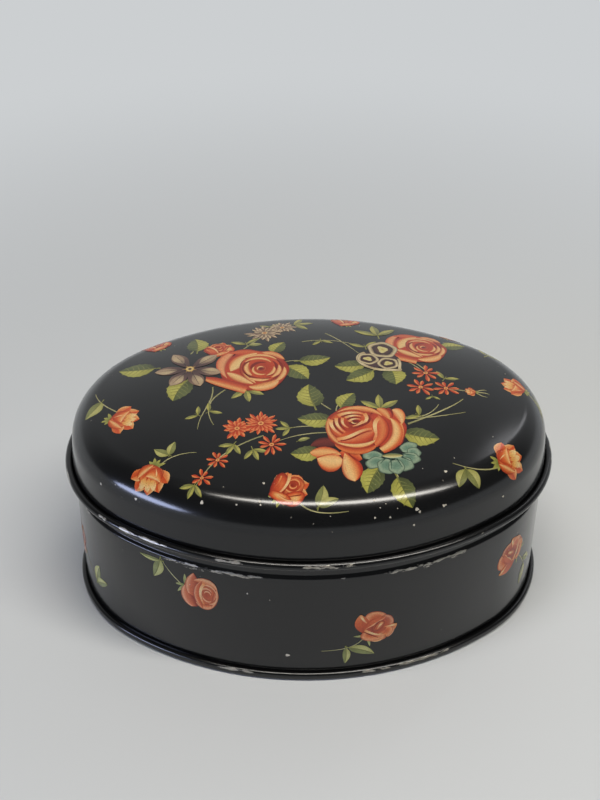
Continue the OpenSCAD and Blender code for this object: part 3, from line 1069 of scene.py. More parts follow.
def lid_layout() -> list[Motif]:
    """Lay out the bouquets on the lid.

    Returns:
        The figures, lowest first, in flat millimetres with +Y to the back.
    """
    back_left: list[Motif] = [
        stem(-38, 2, -37, -9, -43, -15, -43, -24), stem(-33, 0, -41, -8, -40, -15, -37, -22),
        stem(-48, 28, -45, 34, -46, 38), stem(-26, 30, -21, 37, -17, 44, width=0.8),
        Sprig(-43, -16, 6, 55, leaflets=2), Sprig(-39, -14, 6, -50, leaflets=2), Leaf(-62, 18.5, 15, 82),
        Leaf(-45.5, 30, 13, 6, True), Leaf(-48, 7, 14.5, 159, True), Leaf(-9, 15.5, 12.5, -135, plump=75),
        Leaf(-14, 26, 10, -28), Leaf(-3.5, 19.5, 13, -80, True, 60), stem(-9, 19, -6, 20, -3, 19.6),
        Sprig(-25, 0, 9, 190), Sprig(-25, 34, 8, 12, leaflets=2), slim(-24, 33, -18.5, 33.5, 50),
        Sprig(-5, 53, 9, -80), Sprig(-15, 51, 6, 10, leaflets=2),
        StarFlower(-10, 50, 6.5, petals=11, double=True, ink=StarInk.LILAC),
        StarFlower(-17.5, 44.5, 8.2, 8, petals=13, double=True, ink=StarInk.LILAC),
        SideRose(-36.5, 30.5, 7.5, 20), BowlRose(-23, 13.9, 16), Daisy(-47.6, 15.3, 14.2)]
    back_right: list[Motif] = [
        stem(8, 43, 13, 38, 21, 25), stem(-2, 35, 8, 38, 15, 35, 21, 32), Sprig(6, 36, 6, 190, leaflets=2),
        stem(41, 18, 44, 15, 46, 11), stem(44, 17, 47, 13, 48, 10), stem(55, -1, 60, -1, 64, -2),
        Leaf(23, 16, 12.3, 93), Leaf(26, 12, 13, 121), Leaf(33, 13, 11, -173, plump=85),
        Leaf(56, 33, 11, -72),
        Sprig(30, 41, 12, 8), Sprig(24, 30, 8, 10, leaflets=2), Sprig(54, 6, 7, -30, leaflets=2),
        BowlRose(45, 31, 13.6, 4), Pansies(30, 23, 10.2), StarFlower(47, 10, 5.9, petals=8),
        StarFlower(44, -0.1, 5.7, 25, petals=8), StarFlower(54, -0.5, 5.5, 50, petals=8),
        Sprig(48, -6, 4, 180, leaflets=2), stem(66, -1.8, 68.5, -1.2, 71.2, -2, width=0.7),
        stem(66, -1.5, 68, 0.6, 70.4, 0.3), stem(66, -2, 67.5, -4, 70, -4.2), OpenBud(63.9, -1.7, 2.9, 92)]
    front: list[Motif] = [
        stem(8, -14, 4, -10, 1, -5), stem(10, -15, 10, -11, 13, -8), stem(36, -19, 44, -20, 48, -15, 50, -11),
        stem(37, -23, 46, -18, 55, -13, 60, -7, width=0.9), stem(38, -20, 48, -19, 60, -15),
        stem(6, -25, -4, -23, -10, -26), stem(6, -28, -4, -28, -12, -32),
        stem(-18, -29, -32, -35, -38, -42, -43, -52), Sprig(42, -18, 7, 55, leaflets=2), Leaf(2, -12, 15, 8),
        Leaf(12, -13, 11, -30), Sprig(27, -14, 10), Leaf(8, -20, 13, 88), Leaf(35, -28, 13.5, -100, True),
        Leaf(3, -38, 11, 95), Leaf(24.5, -46, 12.5, 156, True), stem(30, -47, 31, -49, 31.5, -51),
        Leaf(31, -50, 13, -156, True), FrillFlower(30, -40.5, 10.2), DropPetals(9.5, -42, 11.5),
        Rose(21, -25.5, 16.4), Sprig(-8, -25, 6, 95), Sprig(-29, -33, 6.5, 150), Sprig(-22, -36, 6.5, 200),
        slim(-5, -32.5, -0.5, -31, 40), Sprig(-43.2, -51, 6.4, 150),
        StarFlower(-28, -24.5, 6.2, 15, petals=10, double=True),
        StarFlower(-19, -22, 7.2, 40, petals=13, double=True), StarFlower(-15, -34, 5.6),
        StarFlower(-35, -40.5, 4.4, 30, petals=8), StarFlower(-40.6, -48.3, 4.2, petals=7)]
    rim: list[Motif] = [
        stem(-57, -42, -55.5, -38, -50, -35.4, -43, -36), slim(-53.2, -36, -59, -32.5, 50),
        slim(-53, -36, -51.2, -29.8, 50), OpenBud(-60, -45, 8.2, 160),
        stem(-72, -12, -78, -6, -83, -2, -85, 6), slim(-82, -0.5, -88, -9, 55),
        OpenBud(-72.6, -14, 8.2, -104),
        stem(-6, -60, -3, -65.5, 4, -66, 12.5, -64.5), slim(1.5, -63, 3.6, -54.2, 50, True),
        slim(2, -63, 9, -59.8, 45), SideRose(-9, -55, 8.8, -40),
        stem(72, -40, 64, -45, 58, -44, 52, -42), slim(56.5, -44.5, 54, -52, 55, True),
        slim(57, -44.5, 62.5, -51, 55), OpenBud(74.5, -37, 8.4, -62),
        stem(86.5, 5, 91, 2.5, 94, -2, 95, -9), slim(91.5, 3.8, 95.4, -5.5, 35), OpenBud(83, 6.4, 6.8, 76),
        stem(-64.5, 40, -72, 39, -80, 32), SideRose(-63.5, 40.8, 7.6, 30),
        stem(18, 61, 26, 64, 36, 62), Sprig(30, 63, 8, -60, leaflets=2), SideRose(17, 57.4, 7.4, 10),
        Sprig(75, 30, 10, -40), Sprig(-30, 60, 9, 40), StarFlower(-38, 62, 4.6), SideRose(62, 48, 6.5, -30)]
    return rim + back_left + back_right + front


def wall_layout() -> list[Motif]:
    """Lay out the single roses round the wall.

    Returns:
        The figures, lowest first, as run from the middle of the front and height.
    """
    figures: list[Motif] = [
        stem(-51, 40.5, -56, 44, -59.5, 50.2, width=0.55), slim(-60.3, 50, -63.6, 40),
        slim(-60, 49.6, -69.5, 49.4, 22), TurnedRose(-44.1, 38.9, 7.8),
        stem(19, 19, 16, 14.5, 10, 14.2, 3, 14.2, width=0.5), slim(12.4, 15, 12.2, 6.6, 36),
        slim(13.6, 15, 23.8, 10, 38), WallRose(23.4, 25, 8.6, -28),
        stem(91, 32, 96, 28, 99, 20, width=0.5), slim(97, 26, 104, 21), slim(98.5, 22, 96, 12),
        WallRose(86, 35, 8.6, 70), stem(-112, 23, -104, 20, -99, 13, width=0.5),
        slim(-99.5, 15, -95.5, 26), slim(-99, 14.5, -90.5, 19.5), WallRose(-117, 26, 8.8, 40, True)]
    for run, height, turn in ((146, 27, -40), (196, 35, 60), (-158, 36, -50), (-208, 26, 30)):
        cos, sin = np.cos(np.radians(turn - 90)), np.sin(np.radians(turn - 90))
        x, y = run + 13 * cos, height + 13 * sin
        figures += [stem(run, height, run + 8 * cos + 2, height + 8 * sin, x, y, width=0.5),
                    slim(x, y, x - 8, y + 3), slim(x, y, x + 7, y - 5), WallRose(run, height, 8.6, turn)]
    return figures


def flakes(spots: Sequence[tuple[float, float, float]]) -> list[Motif]:
    """Flaked spots from their flat places and half sizes, each turned another way."""
    return [Flake(x, y, size, 77.0 * k) for k, (x, y, size) in enumerate(spots)]


def lid_flakes(oval: Oval, specks: int = 44) -> list[Motif]:
    """Flaked spots on the lid: knocks on the front shoulder, and small specks all round it.

    Args:
        oval: Plan of the wall.
        specks: Number of the scattered ones.

    Returns:
        The spots.
    """
    front = ((38.0, -62.2, 0.75), (39.2, -63.0, 0.5), (48.6, -59.6, 0.6), (49.3, -59.2, 0.35),
             (38.0, -68.2, 0.5), (49.0, -46.2, 0.6), (21.8, -60.2, 0.35), (24.0, -62.8, 0.22),
             (22.2, -66.5, 0.4), (28.0, -66.0, 0.4), (26.0, -61.2, 0.2), (30.5, -62.6, 0.2),
             (76.0, -51.2, 0.55), (-83.0, -41.2, 0.55), (-67.5, -51.8, 0.6), (-40.8, -58.2, 0.7),
             (-18.0, -52.5, 0.5), (-19.5, -60.0, 0.5), (-19.3, -61.4, 0.35), (-28.0, -60.6, 0.35))
    draw = np.random.default_rng(11)
    run, offset = draw.uniform(-260, 260, specks), draw.uniform(-16, 7, specks)
    x, y = oval.ring(oval.direction(run), offset)
    return flakes(front + tuple(zip(x.tolist(), y.tolist(), draw.uniform(0.08, 0.24, specks).tolist())))


def wall_flakes(specks: int = 40) -> list[Motif]:
    """Flaked spots on the wall: one large chip low on the front, and small specks.

    Args:
        specks: Number of the small ones.

    Returns:
        The spots.
    """
    draw = np.random.default_rng(12)
    run, height = draw.uniform(-260, 260, specks), draw.uniform(5, 50, specks)
    small = zip(run.tolist(), height.tolist(), draw.uniform(0.1, 0.26, specks).tolist())
    return flakes([(-10.0, 12.0, 0.85), (-25.0, 43.2, 0.4), *small])


@dataclass(frozen=True)
class WornBend:
    """A bend that has been knocked, so that bare tin shows along parts of it.

    Attributes:
        offset: Offset of the most exposed point of the bend.
        height: Height of that point.
        reach: Distance over which the wear fades across the bend.
        stretches: Start and stop of each worn stretch along the wall, from the middle of the front.
        worn: Wear in a stretch.
        scuffed: Wear elsewhere on the bend.
        fade: Length over which a stretch fades at its ends.
    """

    offset: float
    height: float
    reach: float
    stretches: tuple[tuple[float, float], ...]
    worn: float = 0.58
    scuffed: float = 0.34
    fade: float = 3.0

    def wear(self, profile: np.ndarray, run: np.ndarray) -> np.ndarray:
        """Wear at points of a carried profile: a bell across the bend times the stretches along it.

        Args:
            profile: Rows of offset and height.
            run: Runs of the columns along the wall.

        Returns:
            Wear from 0 to 1, as rows by columns.
        """
        away = np.hypot(profile[:, 0] - self.offset, profile[:, 1] - self.height) / self.reach
        edges = np.array(self.stretches)
        inside = np.minimum(run[:, None] - edges[:, 0], edges[:, 1] - run[:, None]) / self.fade
        along = self.scuffed + (self.worn - self.scuffed) * np.clip(inside + 0.5, 0, 1).max(axis=1)
        return np.exp(-away ** 2)[:, None] * along


def make_mesh(name: str, points: np.ndarray, faces: list[list[int]], materials: Sequence[bpy.types.Material],
              slots: np.ndarray | None = None,
              values: dict[str, np.ndarray] | None = None) -> bpy.types.Object:
    """Make a smooth mesh object from arrays.

    Args:
        name: Name of the object.
        points: Vertices in millimetres.
        faces: Vertex indices of each face.
        materials: Materials of the slots.
        slots: Material slot of each face.
        values: Per-vertex numbers or vectors by attribute name.

    Returns:
        The object, linked to the scene.
    """
    mesh = bpy.data.meshes.new(name)
    mesh.from_pydata((points.reshape(-1, 3) * MM).tolist(), [], faces)
    for material in materials:
        mesh.materials.append(material)
    if slots is not None:
        mesh.polygons.foreach_set("material_index", slots.astype(np.int32))
    for key, numbers in (values or {}).items():
        kind, channel = ("FLOAT", "value") if numbers.ndim == 1 else ("FLOAT_VECTOR", "vector")
        mesh.attributes.new(key, kind, "POINT").data.foreach_set(channel, numbers.astype(np.float32).ravel())
    mesh.polygons.foreach_set("use_smooth", np.ones(len(mesh.polygons), dtype=bool))
    mesh.update()
    piece = bpy.data.objects.new(name, mesh)
    bpy.context.scene.collection.objects.link(piece)
    return piece


@dataclass
class SheetPiece:
    """Common part of the pressed pieces: a sheet profile carried round the oval."""

    oval: Oval = field(default_factory=Oval)
    sheet: float = 0.35
    around: int = 400

    @property
    def half(self) -> float:
        """Half of the sheet's thickness."""
        return self.sheet / 2

    def carry(self, profile: np.ndarray) -> np.ndarray:
        """Carry profile points round the oval.

        Args:
            profile: Rows of offset and height.

        Returns:
            Points in millimetres, as profile rows by columns round the oval by XYZ.
        """
        angle = self.oval.columns(self.around)[None, :]
        x, y = self.oval.ring(angle, profile[:, :1])
        return np.stack([x, y, np.broadcast_to(profile[:, 1:], x.shape)], axis=-1)

    def worn(self, profile: np.ndarray, bend: WornBend) -> dict[str, np.ndarray]:
        """Attributes of the lacquer on a carried profile.

        Args:
            profile: Rows of offset and height.
            bend: The knocked bend.

        Returns:
            Wear, and the place on the unrolled sheet in metres as run, length across and 0, by vertex.
        """
        run = self.oval.run(self.oval.columns(self.around))
        across = np.concatenate([[0.0], np.cumsum(np.hypot(*np.diff(profile, axis=0).T))])
        flat = np.stack(np.broadcast_arrays(run[None, :], across[:, None], 0.0), axis=-1) * MM
        return {"wear": bend.wear(profile, run).ravel(), "rolled": flat.reshape(-1, 3)}

    def skin(self, rows: int, closed: bool) -> np.ndarray:
        """Quads of a carried profile.

        Args:
            rows: Number of profile points.
            closed: Whether the last row joins the first.

        Returns:
            Vertex indices of the quads.
        """
        index = np.arange(rows * self.around).reshape(rows, self.around)
        if closed:
            index = np.vstack([index, index[:1]])
        a, b = index[:-1], index[1:]
        return np.stack([a, b, np.roll(b, -1, axis=1), np.roll(a, -1, axis=1)], axis=-1).reshape(-1, 4)

    def plate(self, first: int, flip: bool) -> list[list[int]]:
        """Fill the middle of a panel from one ring of vertices, by strips across the box.

        Args:
            first: Index of the ring's first vertex, which lies on +X.
            flip: Whether the faces turn the other way.

        Returns:
            Vertex indices of the faces.
        """
        n, way = self.around, -1 if flip else 1
        i = np.arange(1, n // 2 - 1)
        strips = np.stack([i, i + 1, n - i - 1, n - i], axis=-1) + first
        tips = np.array([[0, 1, n - 1], [n // 2 - 1, n // 2, n // 2 + 1]]) + first
        return strips[:, ::way].tolist() + tips[:, ::way].tolist()

    def panel(self, name: str, outer: np.ndarray, inner: np.ndarray, lacquered: int, flip: bool,
              finishes: Sequence[bpy.types.Material], bend: WornBend) -> bpy.types.Object:
        """Make a sheet that closes over the middle of the box.

        Args:
            name: Name of the piece.
            outer: Profile of the outside, from the edge to the middle.
            inner: Profile of the inside, likewise.
            lacquered: Number of inside points, from the edge, that have the outside's finish.
            flip: Whether the outside faces down.
            finishes: Lacquer and bare tinplate.
            bend: The knocked bend.

        Returns:
            The object.
        """
        profile = np.vstack([outer[::-1], inner])
        quads = self.skin(len(profile), closed=False)[:, ::-1 if flip else 1]
        rows = np.repeat(np.arange(len(profile) - 1), self.around)
        outside, inside = self.plate(0, flip), self.plate((len(profile) - 1) * self.around, not flip)
        slots = np.concatenate([rows >= len(outer) + lacquered, np.zeros(len(outside)), np.ones(len(inside))])
        return make_mesh(name, self.carry(profile), quads.tolist() + outside + inside, finishes, slots,
                         self.worn(profile, bend))


@dataclass
class Lid(SheetPiece):
    """Domed lid: rolled edge, leaning skirt, round shoulder and low crown in one pressing."""

    curl_height: float = 60.2
    curl_radius: float = 1.6
    curl_offset: float = 1.75
    curl_turn: float = 305.0
    skirt_lean: float = 4.7
    skirt_top: float = 71.6
    dome_shoulder: float = 13.6
    crown_slope: float = 15.0
    tip: float = 2.0
    tip_band: float = 2.0
    knocks: WornBend = WornBend(2.95, 60.95, 1.35, (
        (-87, -81), (-76, -55), (-36, -26), (-4, 15), (63, 66), (118, 130), (150, 168), (201, 214),
        (-118, -108), (-170, -160), (-228, -214)))

    def __post_init__(self) -> None:
        """Work out the centres of the bends, on the middle of the sheet."""
        lean, slope = np.radians([self.skirt_lean, self.crown_slope])
        out = np.array([np.cos(lean), np.sin(lean)])
        self.curl_centre = np.array([self.curl_offset, self.curl_height])
        self.curl_mid = self.curl_radius - self.half
        foot = self.curl_centre - self.curl_mid * out
        head = foot + (self.skirt_top - foot[1]) * np.array([-np.tan(lean), 1.0])
        self.dome_mid = self.dome_shoulder - self.half
        self.dome_centre = head - self.dome_mid * out
        self.crown_start = self.dome_centre + self.dome_mid * np.array([np.sin(slope), np.cos(slope)])
        self.crown_run = self.crown_start[0] + self.oval.end_radius - self.tip - self.tip_band
        self.crown_rise = np.tan(slope) * self.crown_run / 2

    def face(self, side: Side, roll: int, dome: int, crown: int) -> tuple[np.ndarray, int]:
        """One face of the sheet, from the free end of the roll to the middle of the crown.

        The crown is a parabola that leaves the shoulder at its slope and lies flat at the middle.

        Args:
            side: Face of the sheet.
            roll: Steps round the rolled edge.
            dome: Steps over the shoulder.
            crown: Steps over the crown.

        Returns:
            Profile points, and the number of them on the rolled edge.
        """
        d = self.half * side.value
        lean = self.skirt_lean
        curl = arc(self.curl_centre, self.curl_mid - d, 180 + lean + self.curl_turn, 180 + lean, roll)
        shoulder = arc(self.dome_centre, self.dome_mid + d, lean, 90 - self.crown_slope, dome)
        u = np.linspace(0, 1, crown + 1)[1:]
        rise = self.crown_rise * u * (2 - u)
        top = np.stack([self.crown_start[0] - u * self.crown_run, self.crown_start[1] + rise + d], axis=-1)
        end = np.array([[self.tip - self.oval.end_radius, top[-1, 1]]])
        return np.vstack([curl, line(curl[-1], shoulder[0], 4), shoulder, top, end]), len(curl)

    def flat_to_lid(self, x: np.ndarray, y: np.ndarray) -> tuple[np.ndarray, np.ndarray]:
        """Carry flat print on to the outside of the lid.

        On the crown a point keeps its place in plan. Past the crown its offset runs down the shoulder and
        the skirt by arc length.

        Args:
            x: Flat places along the lid.
            y: Flat places across the lid.

        Returns:
            Points in millimetres, and outward directions.
        """
        profile, rolled = self.face(Side.OUTSIDE, 4, 60, 60)
        profile = profile[rolled:][::-1]
        slope = np.gradient(profile, axis=0)
        out = np.stack([-slope[:, 1], slope[:, 0]], -1) / np.hypot(slope[:, 0], slope[:, 1])[:, None]
        out[profile[:, 0] <= self.crown_start[0] - self.crown_run] = (0.0, 1.0)
        run = np.concatenate([[0.0], np.cumsum(np.hypot(*np.diff(profile, axis=0).T))])
        start = np.interp(-self.crown_start[0], -profile[::-1, 0], run[::-1])
        edge = self.crown_start[0]
        flat = np.where(profile[:, 0] <= edge, profile[:, 0], edge + run - start)
        q, angle = self.oval.locate(x, y)
        offset, z, out_r, out_z = (np.interp(q, flat, column) for column in (*profile.T, *out.T))
        on_crown = q <= edge
        ring_x, ring_y = self.oval.ring(angle, offset)
        points = np.stack([np.where(on_crown, x, ring_x), np.where(on_crown, y, ring_y), z], -1)
        return points, np.stack([out_r * np.cos(angle), out_r * np.sin(angle), out_z], -1)

    def build(self, finishes: Sequence[bpy.types.Material]) -> bpy.types.Object:
        """Build the lid and put it on its body.

        Args:
            finishes: Lacquer of the outside and the rolled edge, and bare tinplate of the inside.

        Returns:
            The lid's object.
        """
        outer, _ = self.face(Side.OUTSIDE, 14, 36, 32)
        inner, rolled = self.face(Side.INSIDE, 30, 16, 14)
        piece = self.panel("lid_sheet", outer, inner, rolled, False, finishes, self.knocks)
        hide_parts("lid")
        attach(piece, Body.LID.value)
        return piece


@dataclass
class Wall(SheetPiece):
    """Wall strip: bottom flange, plain wall, step in to the neck, rolled rim and lock seam."""

    lid_clearance: float = 0.4
    shoulder_height: float = 52.4
    shoulder_bend: float = 0.85
    shoulder_slope: float = 45.0
    rim_radius: float = 1.0
    rim_turn: float = 300.0
    lock_width: float = 4.0
    lock_depth: float = 0.6
    lock_bite: float = 0.1
    lock_foot: float = 5.1
    lock_length: float = 45.8
    flange_bend: float = 0.6
    flange_end: float = 1.55
    flange_height: float = 0.625
    knocks: WornBend = WornBend(-0.1, 51.9, 1.2, (
        (-58, -52), (-51, -19), (9, 12.5), (27, 62), (100, 118), (170, 190), (-112, -98), (-200, -176)))

    def fit(self, lid: Lid) -> None:
        """Work out the neck and the rim so that they stay clear of the inside of the lid.

        Args:
            lid: The lid that slips over the neck.
        """
        slope = np.radians(self.shoulder_slope)
        lean = np.radians(lid.skirt_lean)
        head = lid.dome_centre + lid.dome_mid * np.array([np.cos(lean), np.sin(lean)])
        neck = head[0] - self.sheet - self.lid_clearance
        step = -self.half - neck
        self.bend = min(self.shoulder_bend, step / (2 - 2 * np.cos(slope)))
        run = (step - 2 * self.bend * (1 - np.cos(slope))) / np.sin(slope)
        along = np.array([np.cos(slope), np.sin(slope)])
        self.step_start = np.array([-self.half - self.bend, self.shoulder_height - self.bend])
        step_end = self.step_start + self.bend * along + run * np.array([-along[1], along[0]])
        self.neck_foot = step_end + self.bend * along
        rim_x = neck - self.rim_radius
        span = lid.dome_mid - self.sheet - self.rim_radius - self.lid_clearance
        rise = np.sqrt(span ** 2 - (rim_x - lid.dome_centre[0]) ** 2)
        self.rim_centre = np.array([rim_x, lid.dome_centre[1] + rise])

    def face(self, side: Side, bend: int, roll: int) -> np.ndarray:
        """One face of the sheet, from the flange in the base seam to the rolled rim.

        Args:
            side: Face of the sheet.
            bend: Steps along a bend.
            roll: Steps round the rim.

        Returns:
            Profile points.
        """
        d = -self.half * side.value
        slope = self.shoulder_slope
        foot = arc([self.flange_bend - self.half, self.flange_height + self.flange_bend],
                   self.flange_bend + d, 270, 180, bend)
        step = arc(self.step_start, self.bend - d, 0, slope, bend)
        neck = arc(self.neck_foot, self.bend + d, 180 + slope, 180, bend)
        rim = arc(self.rim_centre, self.rim_radius - d, 0, self.rim_turn, roll)
        start = np.array([[self.flange_end, self.flange_height - d]])
        return np.vstack([start, foot, line(foot[-1], step[0], 8), step,
                          neck, line(neck[-1], rim[0], 4), rim])

    def flat_to_wall(self, run: np.ndarray, height: np.ndarray) -> tuple[np.ndarray, np.ndarray]:
        """Carry flat print on to the outside of the wall.

        Args:
            run: Lengths along the wall from the middle of the front.
            height: Heights above the table.

        Returns:
            Points in millimetres, and outward directions.
        """
        angle = self.oval.direction(run)
        x, y = self.oval.ring(angle, np.zeros_like(run))
        return np.stack([x, y, height], -1), np.stack([np.cos(angle), np.sin(angle), 0 * height], -1)

    def lock_seam(self) -> tuple[np.ndarray, np.ndarray, list[list[int]]]:
        """Folded seam down the inside of the back, as a rounded bar with narrowed ends.

        Its section is a half ellipse of the seam's width and depth, carried up the wall.

        Returns:
            Points in millimetres, quads round the bar, and its two end faces.
        """
        turn = np.linspace(0, np.pi, 15)
        x = self.lock_width / 2 * np.cos(turn)
        back = self.oval.width / 2 - self.sheet + self.lock_bite
        y = back - (self.lock_depth + self.lock_bite) * np.sin(turn) ** 0.5
        z = self.lock_foot + self.lock_length * np.array([0.0, 0.02, 0.98, 1.0])[:, None]
        x = np.array([0.8, 1.0, 1.0, 0.8])[:, None] * x
        index = np.arange(x.size).reshape(x.shape)
        beside = np.roll(index, -1, axis=1)
        quads = np.stack([index[:-1], beside[:-1], beside[1:], index[1:]], axis=-1).reshape(-1, 4)
        points = np.stack(np.broadcast_arrays(x, y, z), -1).reshape(-1, 3)
        return points, quads, [index[0, ::-1].tolist(), index[-1].tolist()]

    def build(self, finishes: Sequence[bpy.types.Material]) -> bpy.types.Object:
        """Build the wall and put it on its body.

        Args:
            finishes: Lacquer of the outside, and bare tinplate of the inside.

        Returns:
            The wall's object.
        """
        outer, inner = self.face(Side.OUTSIDE, 10, 20), self.face(Side.INSIDE, 6, 12)
        profile = np.vstack([outer[::-1], inner])
        points = self.carry(profile).reshape(-1, 3)
        rows = np.repeat(np.arange(len(profile)), self.around)
        inside = (rows >= len(outer)) & (rows < len(profile) - 1)
        bar, bar_quads, bar_ends = self.lock_seam()
        faces = self.skin(len(profile), closed=True).tolist() + (bar_quads + len(points)).tolist()
        faces += [[i + len(points) for i in end] for end in bar_ends]
        slots = np.concatenate([inside, np.ones(len(bar_quads) + len(bar_ends))])
        values = {key: np.concatenate([numbers, np.zeros((len(bar),) + numbers.shape[1:])])
                  for key, numbers in self.worn(profile, self.knocks).items()}
        piece = make_mesh("wall_sheet", np.vstack([points, bar]), faces, finishes, slots, values)
        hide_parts("body_wall")
        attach(piece, Body.BOX.value)
        return piece


@dataclass
class Base(SheetPiece):
    """Base: raised panel, and an edge rolled over the flange of the wall."""

    layer_gap: float = 0.1
    seam_height: float = 3.3
    seam_reach: float = 2.3
    seam_corner: float = 1.2
    edge_gap: float = 0.15
    panel_height: float = 3.6
    panel_bend: float = 0.8
    foot_bend: float = 0.6
    tip: float = 2.0
    knocks: WornBend = WornBend(2.05, 2.75, 0.95, (
        (-42, -20), (18, 56), (140, 152), (206, 226), (-150, -128), (-196, -188)))

    def face(self, side: Side, bend: int) -> np.ndarray:
        """One face of the sheet, from the edge over the flange to the middle of the panel.

        Args:
            side: Face of the sheet.
            bend: Steps along a bend.

        Returns:
            Profile points.
        """
        d = self.half * side.value
        chuck = -self.sheet - self.layer_gap - self.half
        x, r = self.seam_reach - self.seam_corner, self.seam_corner - self.half
        over = arc([x, self.seam_height - self.seam_corner], r + d, 90, 0, bend)
        under = arc([x, self.seam_corner], r + d, 0, -90, bend)
        foot = arc([chuck + self.foot_bend, self.half + self.foot_bend], self.foot_bend + d, 270, 180, bend)
        edge = arc([chuck - self.panel_bend, self.panel_height - self.panel_bend],
                   self.panel_bend - d, 0, 90, bend)
        start = np.array([[self.edge_gap, over[0, 1]]])
        end = np.array([[self.tip - self.oval.end_radius, edge[-1, 1]]])
        return np.vstack([start, over, under, foot, edge, line(edge[-1], end[0], 6), end])

    def build(self, finishes: Sequence[bpy.types.Material]) -> bpy.types.Object:
        """Build the base and put it on its body.

        Args:
            finishes: Lacquer of the underside and the seam, and bare tinplate of the inside.

        Returns:
            The base's object.
        """
        outer, inner = self.face(Side.OUTSIDE, 10), self.face(Side.INSIDE, 6)
        piece = self.panel("base_sheet", outer, inner, 0, True, finishes, self.knocks)
        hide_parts("base_panel")
        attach(piece, Body.BOX.value)
        return piece


@dataclass
class Print:
    """Printed figures carried on to a surface as thin layers of ink, under a tint of aged varnish."""

    name: str
    slot: str
    body: Body
    layout: list[Motif]
    carry: Callable[[np.ndarray, np.ndarray], tuple[np.ndarray, np.ndarray]]
    varnish: str = "#ffffff"
    first_lift: float = 0.03
    layer_lift: float = 0.006
    bend_lift: float = 0.008

    def levels(self, layers: list[list[Patch]]) -> np.ndarray:
        """Height of each layer in the pile: one above the highest earlier layer that its box touches.

        Args:
            layers: Layers of ink, lowest first.

        Returns:
            Places in the pile from 0.
        """
        low = np.array([np.min([p.points.min(axis=(0, 1)) for p in layer], axis=0) for layer in layers])
        high = np.array([np.max([p.points.max(axis=(0, 1)) for p in layer], axis=0) for layer in layers])
        level = np.zeros(len(layers), int)
        for i in range(1, len(layers)):
            touch = np.all((low[:i] < high[i]) & (high[:i] > low[i]), axis=1)
            level[i] = (level[:i][touch] + 1).max(initial=0)
        return level

    def build(self, ink: bpy.types.Material) -> bpy.types.Object:
        """Build the print and put it on its body.

        Args:
            ink: Finish of the print.

        Returns:
            The print's object.
        """
        layers = [layer for motif in self.layout for layer in motif.layers()]
        points, normals, inks, faces, count = [], [], [], [], 0
        for layer, level in zip(layers, self.levels(layers)):
            for patch in layer:
                flat = patch.points.reshape(-1, 2)
                place, out = self.carry(flat[:, 0], flat[:, 1])
                step = self.layer_lift + self.bend_lift * (1 - out[:, 2:])
                points.append(place + out * (self.first_lift + step * level))
                normals.append(out)
                inks.append(patch.inks.reshape(-1, 3) * linear(self.varnish)[:3])
                faces.append(self.grid_faces(patch.points) + count)
                count += len(flat)
        piece = make_mesh(self.name, np.vstack(points), np.vstack(faces).tolist(), [ink])
        colours = np.hstack([np.vstack(inks), np.ones((count, 1))]).astype(np.float32)
        piece.data.attributes.new("ink", "FLOAT_COLOR", "POINT").data.foreach_set("color", colours.ravel())
        piece.data.normals_split_custom_set_from_vertices(np.vstack(normals).tolist())
        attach(piece, self.body.value)
        return piece

    @staticmethod
    def grid_faces(grid: np.ndarray) -> np.ndarray:
        """Quads of a grid of flat points, turned to face outward.

        Args:
            grid: Rows by columns by XY.

        Returns:
            Vertex indices of the quads.
        """
        rows, columns = grid.shape[:2]
        index = np.arange(rows * columns).reshape(rows, columns)
        quads = np.stack([index[:-1, :-1], index[1:, :-1], index[1:, 1:], index[:-1, 1:]], -1).reshape(-1, 4)
        down, across = grid[1:, :-1] - grid[:-1, :-1], grid[:-1, 1:] - grid[:-1, :-1]
        area = (down[..., 0] * across[..., 1] - down[..., 1] * across[..., 0]).sum()
        return quads if area > 0 else quads[:, ::-1]


@dataclass(frozen=True)
class Lamp:
    """Soft oval lamp.

    Attributes:
        name: Name of the lamp.
        place: Its middle in millimetres.
        target: Point that it faces.
        size: Width and height in millimetres.
        power: Power in watts.
        colour: Colour of its light.
    """

    name: str
    place: tuple[float, float, float]
    target: tuple[float, float, float]
    size: Point
    power: float
    colour: str

    def hang(self) -> None:
        """Make the lamp."""
        data = bpy.data.lights.new(self.name, "AREA")
        data.shape = "ELLIPSE"
        data.size, data.size_y = self.size[0] * MM, self.size[1] * MM
        data.energy, data.color = self.power, linear(self.colour)[:3]
        lamp = bpy.data.objects.new(self.name, data)
        bpy.context.scene.collection.objects.link(lamp)
        lamp.location = np.array(self.place) * MM
        aim = np.array(self.target, float) - np.array(self.place, float)
        flat = np.hypot(aim[0], aim[1])
        lamp.rotation_euler = (np.arctan2(flat, -aim[2]), 0.0, np.arctan2(-aim[0], aim[1]))


